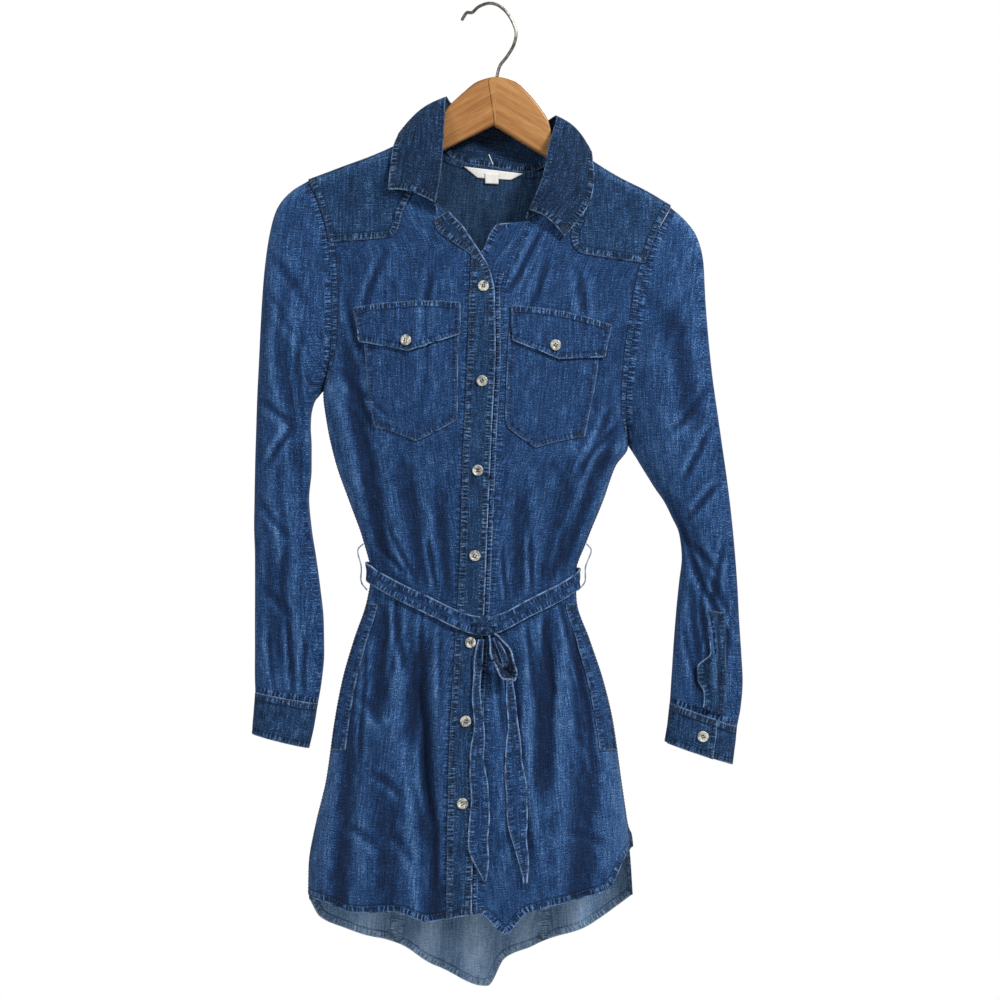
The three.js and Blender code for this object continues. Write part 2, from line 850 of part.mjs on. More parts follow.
function addBackCentre() {
  const width = (z, column) => mix(BACK_SEAMS.right(z) + SEAM_GAP, BACK_SEAMS.left(z) - SEAM_GAP, column);
  const even = (i) => i / (BACK_CENTRE_COLUMNS.length - 1);
  const upper = FRONT_LEVELS.map((level) => BACK_CENTRE_COLUMNS.map((column, i) => {
    const topX = width(-170, column);
    const z = mix(backTop(topX), PANEL_JOIN, level);
    const x = mix(topX, width(PANEL_JOIN, even(i)), level);
    return parted(onBody(1, x, z), 1);
  }));
  const lower = PANEL_LEVELS.map((z) => BACK_CENTRE_COLUMNS.map((_, i) => {
    const x = width(z, even(i));
    return onBody(1, x, towardsHem(1, x, z));
  }));
  add('back_centre', wall([...upper, ...lower], CLOTH, bodyCore), 'denim');
}

function addBackSides() {
  for (const side of ['right', 'left']) {
    const { sign, shoulder, armpit } = SIDES[side];
    const seam = (z) => BACK_SEAMS[side](z) + sign * SEAM_GAP;
    const upper = FRONT_LEVELS.map((level) => BACK_SIDE_COLUMNS.map((column) => {
      const topX = BACK_SEAMS[side](-170) + sign * SEAM_GAP;
      const innerX = mix(topX, seam(PANEL_JOIN), level);
      const outerZ = mix(shoulder, PANEL_JOIN, level);
      const x = mix(innerX, edgeX(side, outerZ) - sign * SEAM_GAP, column);
      const innerZ = mix(shoulderZ(topX), PANEL_JOIN, level);
      const ridgeX = mix(topX, edgeX(side, shoulder) - sign * SEAM_GAP, column);
      const bow = shoulderZ(ridgeX) - mix(shoulderZ(topX), shoulder, column);
      return parted(onBody(1, x, mix(innerZ, outerZ, column) + bow * (1 - level)), 1);
    }));
    const lower = PANEL_LEVELS.map((z) => BACK_SIDE_COLUMNS.map((column) => {
      const x = mix(seam(z), edgeX(side, z) - sign * (z < armpit ? 0 : SEAM_GAP), column);
      return parted(onBody(1, x, towardsHem(1, x, z)), 1);
    }));
    add(`back_side_${side}`, wall([...upper, ...lower], CLOTH, bodyCore), 'denim');
  }
}

// Plackets and their buttons

function bandRow(x1, z1, x2, z2, out) {
  return [0, 0.5, 1].map((share) => {
    const x = mix(x1, x2, share);
    const z = mix(z1, z2, share);
    return onBody(-1, x, z < HEM_START ? towardsHem(-1, x, z) : z, out);
  });
}

function addPlackets() {
  const overlap = 1.5;
  const outer = OVERLAY_GAP + CLOTH;
  const right = PLACKET_RIGHT_TOP.map((row) => bandRow(row.x1, row.z1, row.x2, row.z2, outer));
  const left = PLACKET_LEFT_TOP.map((row) => bandRow(
    row.x1, row.z1, INNER_EDGES.left(row.z2) - SEAM_GAP - 0.3, row.z2, 0));
  for (const z of PANEL_LEVELS) {
    const edge = read(PLACKET_EDGE, 'z', 'x', z);
    const seam = INNER_EDGES.right(z);
    right.push(bandRow(seam - overlap, z, edge, z, outer));
    left.push(bandRow(seam + SEAM_GAP, z, edge + UNDER_PLACKET_REVEAL - SEAM_GAP, z, 0));
  }
  add('placket_right', wall(right, CLOTH, bodyCore), 'denimDark');
  add('placket_left', wall(left, CLOTH, bodyCore), 'denimDark');
}

// A button's round body lies flat against what carries it
function addButton(name, at, normal) {
  const rim = BUTTON_RADIUS;
  const thick = BUTTON_THICKNESS;
  const outline = [
    [0, 0], [rim - 0.8, 0], [rim, 0.9], [rim - 0.7, thick], [rim * 0.6, thick * 0.8], [0, thick * 0.8],
  ].map(([radius, height]) => new THREE.Vector2(radius, height));
  const button = add(name, new THREE.LatheGeometry(outline, 12), 'pearl');
  button.position.copy(at);
  button.quaternion.setFromUnitVectors(point(0, 1, 0), normal);
}

function buttonOnFront(name, x, z, out) {
  const base = onBody(-1, x, z, out);
  const normal = onBody(-1, x, z, out + 1).sub(base);
  addButton(name, base, normal.normalize());
}

function addFrontButtons() {
  const lift = OVERLAY_GAP + CLOTH + BUTTON_GAP;
  BUTTON_LEVELS.forEach((z, i) => {
    const x = (INNER_EDGES.right(z) + read(PLACKET_EDGE, 'z', 'x', z)) / 2 + 1;
    buttonOnFront(`button_${i + 1}`, x, z, lift);
  });
  for (const side of ['right', 'left']) {
    const [x, z] = POCKET_BUTTONS[side];
    buttonOnFront(`pocket_button_${side}`, x, z, 2 * (OVERLAY_GAP + CLOTH) + BUTTON_GAP);
  }
}

// Pockets and flaps: the front's own columns, moved out

function polyline(points, at) {
  const rows = table(['z', 'x'], points);
  return read(rows, 'z', 'x', at);
}

function addPockets() {
  for (const side of ['right', 'left']) {
    const { inner, outer, point: tip, corners, top, columns } = POCKETS[side];
    const grid = [0, 0.2, 0.4, 0.6, 0.8, 1].map((share) => {
      const reach = (x1, x2, x) => mix(corners[0], corners[1], (x - x1) / (x2 - x1));
      const row = [null, ...columns, 'half', null].map((column, n) => {
        const level = mix(top, corners[0], share);
        const x1 = polyline(inner, level);
        const x2 = polyline(outer, level);
        const lastLine = frontX(side, level, FRONT_COLUMNS[columns[columns.length - 1]]);
        let x = n === 0 ? x1 : x2;
        if (typeof column === 'number') x = frontX(side, level, FRONT_COLUMNS[column]);
        if (column === 'half') x = (lastLine + x2) / 2;
        const hemLine = reach(x1, x2, x);
        const corner = x > tip[0] ? Math.max(x1, x2) : Math.min(x1, x2);
        const away = Math.abs(x - tip[0]) / Math.abs(corner - tip[0]);
        const bottom = mix(tip[1], hemLine, away);
        return onBody(-1, x, mix(top, bottom, share), OVERLAY_GAP + CLOTH);
      });
      return row;
    });
    add(`pocket_${side}`, wall(grid, CLOTH, bodyCore), 'denim');
  }
}

function addFlaps() {
  const outer = 2 * (OVERLAY_GAP + CLOTH);
  for (const side of ['right', 'left']) {
    const flap = FLAPS[side];
    const [tipX, tipZ] = flap.point;
    const middle = (flap.top1 + flap.bottom1) / 2;
    const inside = POCKETS[side].columns.map((column) => frontX(side, middle, FRONT_COLUMNS[column]));
    const lines = [flap.x1, ...inside, (inside[inside.length - 1] + flap.x2) / 2, flap.x2];
    const grid = [0, 0.5, 1].map((share) => lines.map((x) => {
      const place = (x - flap.x1) / (flap.x2 - flap.x1);
      const top = mix(flap.top1, flap.top2, place) + FLAP_RISE * Math.sin(place * Math.PI);
      const corner = Math.abs(x - flap.x1) < Math.abs(tipX - flap.x1) ? flap.x1 : flap.x2;
      const cornerZ = corner === flap.x1 ? flap.bottom1 : flap.bottom2;
      const bottom = mix(tipZ, cornerZ, Math.abs(x - tipX) / Math.abs(corner - tipX));
      const lean = x === flap.x1 ? flap.lean1 : x === flap.x2 ? flap.lean2 : 0;
      return onBody(-1, x + lean * share, mix(top, bottom, share), outer);
    }));
    add(`flap_${side}`, wall(grid, CLOTH, bodyCore), 'denimDark');
  }
}

function addWelts() {
  for (const side of ['right', 'left']) {
    const grid = WELT_LEVELS.map((z) => WELT_COLUMNS.map(
      (column) => onFront(side, z, FRONT_COLUMNS[column], OVERLAY_GAP + CLOTH)));
    add(`welt_${side}`, wall(grid, CLOTH, bodyCore), 'denimDark');
  }
}

// Sleeves and cuffs: rings from an outer to an inner point

function ringPoint(row, angle, side) {
  const half = (1 - Math.cos(angle)) / 2;
  const x = mix(row.ox, row.ix, half);
  const z = mix(row.oz, row.iz, half);
  const swell = Math.sign(Math.sin(angle)) * Math.abs(Math.sin(angle)) ** 0.8;
  const front = swell > 0;
  const fold = front ? foldDepth(FOLDS_SLEEVES, x, z) * swell : 0;
  const p = point(x, row.y - row.depth * swell + fold, z);
  if (row.share > 0) {
    const first = side === 'right' ? SLEEVE_RIGHT[0] : SLEEVE_LEFT[0];
    const seamZ = mix(first.oz, first.iz, half);
    const seamX = edgeX(side, seamZ) + SIDES[side].sign * 2 * SEAM_GAP;
    const bow = seamX - mix(first.ox, first.ix, half);
    const seamY = bodyY(front ? -1 : 1, seamX, seamZ) || 0;
    const plainY = first.y - first.depth * swell;
    p.x += bow * row.share;
    p.y += (seamY - plainY - fold) * row.share;
  }
  return p;
}

function sleeveGrid(rows, side) {
  return rows.map((row) => Array.from({ length: TUBE_SIDES },
    (_, i) => ringPoint(row, (i / TUBE_SIDES) * 2 * Math.PI, side)));
}

function ringCore(rows) {
  return (p) => {
    const row = rows.reduce((best, r) => {
      const gap = (q) => Math.hypot((q.ox + q.ix) / 2 - p.x, (q.oz + q.iz) / 2 - p.z);
      return gap(r) < gap(best) ? r : best;
    });
    return point((row.ox + row.ix) / 2, row.y, (row.oz + row.iz) / 2);
  };
}

function addSleeves() {
  const sleeves = { right: SLEEVE_RIGHT, left: SLEEVE_LEFT };
  for (const side of ['right', 'left']) {
    const rows = sleeves[side];
    const grid = sleeveGrid(rows, side);
    add(`sleeve_${side}`, wall(grid, CLOTH, ringCore(rows), true), 'denim');
    const cuff = sleeveGrid(CUFFS[side], side);
    add(`cuff_${side}`, wall(cuff, DOUBLE_CLOTH, ringCore(CUFFS[side]), true), 'denimDark');
  }
}

// Sleeve plackets follow the sleeve's last rows; cuff buttons lie on the overlap

function addSleevePlackets() {
  const facing = { right: -1, left: 1 };
  const sleeves = { right: SLEEVE_RIGHT, left: SLEEVE_LEFT };
  for (const side of ['right', 'left']) {
    const angles = PLACKET_SIDES.map((n) => (facing[side] * n * 2 * Math.PI) / TUBE_SIDES);
    const grid = sleeves[side].slice(-5, -1).map((row) => angles.map(
      (angle) => ringPoint({ ...row, depth: row.depth + OVERLAY_GAP + CLOTH }, angle, side)));
    add(`sleeve_placket_${side}`, wall(grid, CLOTH, ringCore(sleeves[side])), 'denimDark');
    const middle = CUFFS[side][1];
    const under = { ...middle, depth: middle.depth + CUFF_BUTTON_GAP };
    const at = ringPoint(under, facing[side] * Math.PI * 0.5, side);
    addButton(`cuff_button_${side}`, at, point(0, -facing[side], 0));
  }
}

// Collar stand and leaf, from smooth curves through the stations

function collarCurve(toPoint) {
  return new THREE.CatmullRomCurve3(COLLAR.map(toPoint), false, 'centripetal');
}

function addCollar() {
  const base = collarCurve((row) => (row.face === 0
    ? point(row.baseX, 0, row.baseZ)
    : onBody(row.face, row.baseX, row.baseZ, row.out)));
  const roll = collarCurve((row) => point(row.rollX, row.rollY, row.rollZ));
  const edge = collarCurve((row) => point(row.leafX, row.leafY, row.leafZ));
  const steps = Array.from({ length: COLLAR_STEPS + 1 }, (_, i) => i / COLLAR_STEPS);
  const axis = point(12, 0, -170);
  const stand = steps.map((t) => STAND_SHARES.map(
    (share) => base.getPoint(t).lerp(roll.getPoint(t), share)));
  add('collar_stand', wall(stand, CLOTH, () => axis), 'denimDark');
  const leaf = steps.map((t) => LEAF_SHARES.map((share) => {
    const from = roll.getPoint(t);
    const to = edge.getPoint(t);
    const out = point(from.x - axis.x, 0, 0).add(point(0, from.y * 2 - 10, 0)).normalize();
    const p = from.clone().lerp(to, share);
    p.addScaledVector(out, Math.sin(share * Math.PI) * LEAF_BELLY * 0.5);
    p.z += Math.sin(share * Math.PI) * LEAF_BELLY + CLOTH + OVERLAY_GAP;
    return p;
  }));
  add('collar', wall(leaf, CLOTH, () => axis), 'denim');
}

// Tied belt

const BELT_OUT = OVERLAY_GAP + CLOTH + OVERLAY_GAP + BELT_THICKNESS + BELT_SLACK;

function addBelt() {
  const outer = BELT_OUT;
  const across = [-0.5, 0, 0.5];
  const row = (face, share) => {
    const level = face < 0 ? BELT_FRONT_LEVEL : BELT_BACK_Z;
    const right = edgeX('right', level);
    const left = edgeX('left', level);
    const angle = mix(-Math.PI / 2, Math.PI / 2, share);
    const x = (right + left) / 2 + Math.sin(angle) * (left - right) / 2;
    const middle = face < 0 ? beltZ(x) : mix(beltZ(right), beltZ(left), share);
    return across.map((place) => {
      const z = middle + place * BELT_WIDTH;
      const inside = clamp(x, edgeX('right', z) + 0.6, edgeX('left', z) - 0.6);
      const p = onBody(face, inside, z).clone();
      const flat = point((p.x - bodyCore(p).x) / ((left - right) / 2), p.y / 40, 0).normalize();
      return p.addScaledVector(flat, outer);
    });
  };
  const front = Array.from({ length: BELT_FRONT_STEPS + 1 }, (_, i) => row(-1, i / BELT_FRONT_STEPS));
  const back = Array.from({ length: BELT_BACK_STEPS }, (_, i) => row(1, 1 - (i + 1) / (BELT_BACK_STEPS + 1)));
  const loop = [...front, ...back];
  const turned = across.map((_, j) => loop.map((points) => points[j]));
  add('belt', wall(turned, BELT_THICKNESS, bodyCore, true), 'denimDark');
}

function addKnot() {
  const knot = add('belt_knot', new THREE.SphereGeometry(0.5, 12, 8), 'denimDark');
  knot.scale.set(KNOT_SIZE.width, KNOT_SIZE.depth, KNOT_SIZE.height);
  const out = BELT_OUT + KNOT_SIZE.depth / 2 + BELT_SLACK;
  knot.position.copy(onBody(-1, KNOT_CENTRE.x, KNOT_CENTRE.z, out));
}

function addTails() {
  const tails = { right: TAIL_RIGHT, left: TAIL_LEFT };
  for (const side of ['right', 'left']) {
    const grid = tails[side].map((row) => [0, 0.5, 1].map((share) => {
      const surface = bodyY(-1, (row.x1 + row.x2) / 2, row.z);
      return point(mix(row.x1, row.x2, share), surface - row.out, row.z);
    }));
    add(`belt_tail_${side}`, wall(grid, TAIL_THICKNESS, bodyCore), 'denimDark');
  }
}

function addLoop() {
  const centre = point(16, 0, -682);
  const grid = LOOP_PATH.map((row) => [0, 1].map((share) => {
    const surface = bodyY(-1, row.x, row.z);
    return point(row.x, surface - row.out - share * LOOP_WIDTH, row.z);
  }));
  add('belt_loop', wall(grid, TAIL_THICKNESS, (p) => point(centre.x, p.y, centre.z)), 'denimDark');
}

// Thread carriers: a small arc of thread at each side, above the belt

function addCarriers() {
  for (const side of ['right', 'left']) {
    const { sign } = SIDES[side];
    const x = (z) => edgeX(side, z) + sign * 1.4;
    const path = new THREE.CatmullRomCurve3([
      point(x(-566), -1, -566),
      point(x(-572) + sign * 7, -2, -572),
      point(x(-590) + sign * 8, -2, -590),
      point(x(-606) + sign * 8, -2, -606),
      point(x(-614) + sign * 1, -1, -614),
    ]);
    const section = new THREE.Shape();
    section.absarc(0, 0, 0.7, 0, 2 * Math.PI);
    const thread = new THREE.ExtrudeGeometry(section, { steps: 10, curveSegments: 3, extrudePath: path });
    add(`carrier_${side}`, thread, 'denimDark');
  }
}

// Blank neck label and size tag, at the back neck seam inside

function addLabels() {
  const plate = (corners, inset, thickness) => {
    const grid = corners.map(([x1, x2, z1, z2]) => [0, 0.25, 0.5, 0.75, 1].map((share) => {
      const x = mix(x1, x2, share);
      const z = mix(z1, z2, share);
      return point(x, bodyY(1, x, z) - CLOTH - inset, z);
    }));
    return wall(grid, thickness, (p) => point(p.x, p.y + 10, p.z));
  };
  add('neck_label', plate([[-26, 37, -168, -175.5], [-11, 24, -180, -182]], OVERLAY_GAP + 0.7, 0.7), 'label');
  add('size_tag', plate([[-3, 11, -175, -175.5], [-3, 11, -186, -186.5]], OVERLAY_GAP + 2, 0.6), 'label');
}

// Hanger

function woodTop(x) {
  const neck = WOOD_TOP;
  if (x > neck[0].x && x < neck[neck.length - 1].x) return read(neck, 'x', 'z', x);
  const underNeck = Math.exp(-(((x - NECK_MIDDLE) / NECK_REACH) ** 8));
  return shoulderZ(x) - CLOTH - WOOD_CLEARANCE * (1 + underNeck);
}

function addHanger() {
  const outline = [];
  for (let x = WOOD_ENDS.right; x < WOOD_ENDS.left; x += 8) outline.push([x, woodTop(x)]);
  outline.push([WOOD_ENDS.left, woodTop(WOOD_ENDS.left)]);
  for (const row of [...WOOD_BOTTOM].reverse()) outline.push([row.x, row.z]);
  const shape = new THREE.Shape(outline.map(([x, z]) => new THREE.Vector2(x, z)));
  const edge = WOOD_EDGE_ROUND;
  const wood = new THREE.ExtrudeGeometry(shape, {
    depth: WOOD_THICKNESS - 2 * edge,
    bevelEnabled: true,
    bevelThickness: edge,
    bevelSize: edge,
    bevelOffset: -edge,
    bevelSegments: 2,
  });
  wood.rotateX(Math.PI / 2);
  wood.translate(0, WOOD_THICKNESS / 2 - edge, 0);
  add('hanger_wood', wood, 'beech');
}

function addHook() {
  const path = new THREE.CatmullRomCurve3(HOOK_PATH.map((row) => point(row.x, 0, row.z)));
  const section = new THREE.Shape();
  section.absarc(0, 0, WIRE_RADIUS, 0, 2 * Math.PI);
  const wire = new THREE.ExtrudeGeometry(section, { steps: HOOK_STEPS, curveSegments: 5, extrudePath: path });
  add('hanger_hook', wire, 'steel');
}

addHanger();
addHook();
addBackCentre();
addBackSides();
addFronts();
addYokes();
addPlackets();
addPockets();
addFlaps();
addWelts();
addCollar();
addSleeves();
addSleevePlackets();
addFrontButtons();
addBelt();
addKnot();
addTails();
addLoop();
addCarriers();
addLabels();

export default dress;
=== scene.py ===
"""A blue washed denim shirt dress on a wooden hanger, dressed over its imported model."""

import math

import bpy
import numpy as np
from mathutils import Matrix, Vector


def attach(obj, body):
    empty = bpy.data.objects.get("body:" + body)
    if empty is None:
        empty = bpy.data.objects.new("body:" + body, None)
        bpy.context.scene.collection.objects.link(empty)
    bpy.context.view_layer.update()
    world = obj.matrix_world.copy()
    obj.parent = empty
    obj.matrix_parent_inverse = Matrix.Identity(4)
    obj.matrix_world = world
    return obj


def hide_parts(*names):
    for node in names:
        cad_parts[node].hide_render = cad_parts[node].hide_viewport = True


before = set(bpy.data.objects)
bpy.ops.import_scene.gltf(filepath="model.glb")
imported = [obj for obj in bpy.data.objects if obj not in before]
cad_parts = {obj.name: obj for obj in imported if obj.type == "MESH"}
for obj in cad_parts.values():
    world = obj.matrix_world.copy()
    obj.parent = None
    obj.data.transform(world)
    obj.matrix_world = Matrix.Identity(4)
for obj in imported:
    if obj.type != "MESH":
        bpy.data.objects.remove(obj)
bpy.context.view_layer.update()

bl_info = {
    "name": "Denim shirt dress on a hanger",
    "version": (1, 0, 0),
    "blender": (4, 5, 0),
    "location": "3D View > Sidebar > Shirt dress",
    "description": "Builds a denim shirt dress, its belt, buttons and wooden hanger",
    "category": "Object",
}

# Sizes in millimetres, with +Z up and the front facing -Y. The hook's rail is the origin.

CLOTH = 1.2
DOUBLE_CLOTH = 1.8
OVERLAY_GAP = 0.5
BUTTON_GAP = 0.45
SEAM_MEET = 0.06
SHOULDER_RIDGE = 9
SHOULDER_SPREAD = 110
HEM_START = -850
HEM_LEVEL = -920
PANEL_JOIN = -290
PLACKET_WIDTH = 27
UNDER_PLACKET_REVEAL = 5.5
BELT_WIDTH = 19
BELT_THICKNESS = 1.6
BELT_PINCH = 4
BELT_PINCH_REACH = 20
BELT_BACK_Z = -590
BELT_FRONT_LEVEL = -600
BELT_OUT = 5.0
BODY_DEPTH_AT_BELT = 40
CELL = 3.3
INNER_SHADE_Z = -620
NECK_SEAM_RAISE = 1.7


def table(names, rows):
    """A short table with named columns."""
    columns = zip(*rows)
    return {name: np.array(column, float) for name, column in zip(names.split(), columns)}


DEPTHS = table("z front back", [
    (-110, 20, 18), (-250, 40, 30), (-350, 47, 35), (-450, 46, 36), (-540, 41, 34),
    (-610, 38, 32), (-680, 46, 38), (-780, 58, 46), (-900, 68, 54), (-1060, 74, 62),
])

EDGES = {
    "right": table("z x", [
        (-185, -189), (-208, -178), (-249, -167), (-312, -163), (-353, -164), (-385, -168),
        (-407, -173), (-440, -169), (-480, -160), (-520, -146), (-562, -131), (-598, -123),
        (-625, -127), (-667, -141), (-709, -153), (-751, -161), (-814, -170), (-856, -180),
        (-898, -188), (-1060, -190),
    ]),
    "left": table("z x", [
        (-213, 192), (-239, 178), (-278, 164), (-324, 155), (-379, 147), (-423, 144),
        (-464, 147), (-484, 134), (-520, 121), (-562, 104), (-598, 92), (-625, 93),
        (-667, 107), (-709, 121), (-751, 131), (-814, 140), (-856, 146), (-898, 151),
        (-1060, 160),
    ]),
}

SIGN = {"right": -1, "left": 1}
SHOULDER_END = {"right": -185, "left": -213}
ARMPIT = {"right": -407, "left": -464}
NECK_POINT = {"right": (-61, -124), "left": (84, -145)}

SHOULDER = table("x z", [
    (-200, -189), (-155, -172), (-120, -159), (-94, -147), (-61, -124), (-45, -116),
    (68, -136), (84, -145), (111, -166), (139, -183), (165, -196), (200, -217),
])

EDGE_TURN = table("share turn round", [
    (0, 0.1, 1), (0.25, 0.3, 1), (0.5, 0.45, 0.95), (0.75, 0.65, 0.75), (1, 1, 0.42),
])

HEMS = {
    -1: table("x z", [
        (-190, -932), (-167, -936), (-142, -944), (-95, -942), (-60, -951), (-40, -947),
        (-8, -942), (18, -963), (40, -942), (95, -930), (125, -921), (147, -886), (165, -880),
    ]),
    1: table("x z", [
        (-192, -930), (-178, -962), (-150, -977), (-95, -996), (-55, -1020), (-1, -1042),
        (18, -1012), (50, -996), (104, -975), (140, -948), (162, -925),
    ]),
}

BELT_FRONT = table("x z", [
    (-128, -590), (-121, -596), (-65, -626), (-3, -650), (43, -630), (92, -602), (98, -594),
])

# Long folds: the line of each, its half width, and its depth into the body

FOLD = "x1 z1 x2 z2 width depth"

FOLDS = {
    -1: table(FOLD, [
        (-152, -340, -106, -600, 11, 8),
        (142, -425, 74, -600, 10, 8),
        (-88, -470, -66, -615, 12, 5),
        (88, -480, 60, -610, 12, 5),
        (-52, -500, -38, -628, 10, 5),
        (36, -500, 30, -625, 10, 5),
        (-80, -628, -46, -985, 13, 13),
        (63, -626, 56, -820, 12, 12),
        (-108, -612, -114, -740, 11, 8),
        (87, -612, 104, -770, 11, 7),
        (22, -650, 34, -880, 10, 7),
        (-58, -640, -82, -770, 12, 5),
        (112, -740, 88, -990, 17, 7),
        (-140, -690, -156, -970, 12, 6),
        (-108, -780, -98, -990, 18, 5),
    ]),
    1: table(FOLD, [
        (-140, -360, -96, -585, 12, 7),
        (125, -400, 72, -585, 12, 7),
        (-62, -430, -46, -585, 13, 6),
        (44, -430, 32, -585, 13, 6),
        (-8, -470, -8, -585, 12, 5),
        (-98, -600, -130, -1000, 15, 9),
        (-48, -600, -66, -1050, 15, 9),
        (-8, -600, -14, -1060, 15, 8),
        (32, -600, 40, -1040, 15, 9),
        (72, -600, 96, -1000, 15, 9),
    ]),
}

SLEEVE_FOLDS = table(FOLD, [
    (-213, -330, -194, -500, 9, 5),
    (-224, -560, -214, -700, 11, 4),
    (178, -500, 246, -640, 10, 6),
    (214, -590, 222, -720, 9, 6),
    (196, -300, 212, -440, 13, 4),
])

# Small creases of worn cloth: both ends, half width, and depth into the body

CREASES = {
    -1: table(FOLD, [
        (-60, -280, -66, -420, 4, 1.7),
        (-110, -262, -128, -330, 4.5, 1.6),
        (-150, -300, -130, -372, 4, 1.8),
        (-148, -385, -118, -450, 4, 2.3),
        (-140, -400, -96, -436, 3, 1.7),
        (128, -420, 96, -500, 4, 2.5),
        (136, -440, 112, -470, 3, 1.8),
        (60, -270, 46, -322, 4, 1.4),
        (92, -282, 104, -330, 4.5, 1.6),
        (-118, -560, -84, -600, 3, 2.2),
        (-104, -540, -74, -610, 3, 2),
        (-60, -560, -54, -618, 3, 2.1),
        (-34, -560, -28, -628, 2.5, 1.8),
        (16, -566, 20, -630, 2.5, 2),
        (46, -550, 44, -622, 3, 2.1),
        (84, -548, 62, -608, 3, 2.2),
        (-112, -612, -126, -672, 3, 2.1),
        (-94, -622, -100, -700, 3, 2.2),
        (-66, -640, -70, -716, 3, 2),
        (-46, -642, -50, -742, 3, 1.8),
        (12, -668, 14, -760, 3, 1.8),
        (42, -640, 46, -716, 3, 2.1),
        (76, -620, 88, -690, 3, 2.2),
        (-136, -720, -104, -760, 4.5, 1.3),
        (-118, -800, -86, -826, 4.5, 1.3),
        (92, -762, 116, -800, 4.5, 1.4),
        (-20, -700, -30, -800, 4, 1.3),
        (30, -800, 44, -890, 4.5, 1.8),
        (-150, -850, -110, -880, 4.5, 1.2),
        (-100, -860, -70, -900, 4.5, 1.3),
        (84, -860, 124, -878, 4.5, 1.3),
        (-72, -690, -45, -975, 4.5, 5.9),
        (46, -228, 11, -282, 2.5, 2.6),
        (58, -240, 20, -304, 3, 2.1),
        (-96, -620, -84, -700, 4, 2.9),
        (62, -630, 64, -745, 4, 3.1),
        (84, -618, 112, -800, 3, 2.6),
        (-126, -640, -132, -800, 2.5, 2.1),
    ]),
    1: table(FOLD, [
        (-128, -200, -140, -330, 5.5, 1.8),
        (132, -240, 124, -360, 5.5, 1.8),
        (-60, -230, -20, -300, 6, 1.6),
        (70, -240, 30, -320, 6, 1.6),
        (-150, -400, -110, -470, 4.5, 2.5),
        (134, -430, 96, -500, 4.5, 2.5),
        (-104, -510, -80, -580, 4, 2.2),
        (-76, -500, -66, -584, 4, 2),
        (-28, -510, -26, -584, 4, 2.1),
        (12, -500, 12, -584, 4, 2),
        (60, -505, 52, -584, 4, 2.2),
        (-112, -604, -124, -700, 4, 2.3),
        (-72, -604, -80, -720, 4, 2),
        (-28, -604, -32, -740, 4, 2.1),
        (12, -604, 14, -730, 4, 2),
        (54, -604, 62, -720, 4, 2.2),
        (86, -604, 104, -690, 4, 2.1),
        (-130, -820, -90, -860, 6, 1.3),
        (40, -840, 90, -872, 6, 1.3),
    ]),
}

SLEEVE_CREASES = table(FOLD, [
    (252, -672, 176, -498, 3.5, 4.4),
    (222, -600, 230, -730, 3, 3.1),
    (238, -640, 240, -735, 2.5, 2.1),
    (-200, -330, -190, -470, 4, 2.9),
    (-222, -250, -214, -420, 5.5, 2.1),
    (-216, -470, -206, -700, 5.5, 1.7),
    (-230, -250, -196, -330, 4.5, 2.1),
    (-232, -300, -200, -352, 4, 1.6),
    (-236, -410, -196, -452, 4.5, 2.2),
    (-196, -440, -232, -486, 4, 2),
    (-240, -520, -206, -556, 4, 1.7),
    (-236, -610, -200, -640, 4.5, 1.6),
    (-228, -650, -222, -716, 3, 1.8),
    (-206, -640, -204, -722, 3, 2),
    (-190, -660, -190, -724, 3, 1.7),
    (196, -250, 168, -330, 4.5, 2),
    (212, -300, 178, -392, 4.5, 1.7),
    (234, -400, 190, -450, 4.5, 2.3),
    (238, -440, 200, -500, 4, 2.1),
    (246, -500, 206, -540, 4, 2),
    (206, -556, 240, -600, 4, 2.2),
    (250, -560, 226, -640, 4, 2),
    (256, -640, 236, -720, 4, 2),
    (204, -640, 214, -716, 3, 2),
])

# Edges of the fronts at the neck and beside the placket, from the neck point down

FRONT_RIGHT_INNER = table("z x", [
    (-124, -61), (-165, -66), (-200, -58), (-222, -43), (-240, -26), (-256, -18), (-313, -18),
    (-404, -21), (-495, -25), (-576, -27), (-667, -32), (-775, -38), (-960, -41),
])
PLACKET_EDGE = table("z x", [
    (-300, 7), (-359, 8), (-450, 4), (-541, 0), (-639, -4), (-745, -10), (-827, -14), (-960, -17),
])
FRONT_LEFT_TOP = table("z x", [
    (-145, 84), (-180, 84), (-212, 64), (-229, 43), (-255, 31), (-284, 17), (-300, 13.5),
])
PLACKET_RIGHT_TOP = table("x1 z1 x2 z2", [
    (-56, -228, -41, -220), (-54, -237, -35, -227), (-43, -248, -27, -235),
    (-30, -257, -19, -247), (-17, -268, -8, -264), (-18, -282, 1, -279), (-18, -298, 6, -297),
])
PLACKET_LEFT_TOP = table("x1 z1 z2", [
    (9, -233, -230), (2, -243, -241), (-3, -256, -256), (-10, -268, -270), (-16, -290, -290),
])
BUTTON_LEVELS = (-299, -397, -489, -577, -667, -747, -830)

# Collar: neck seam, roll line and leaf edge at stations round the neck

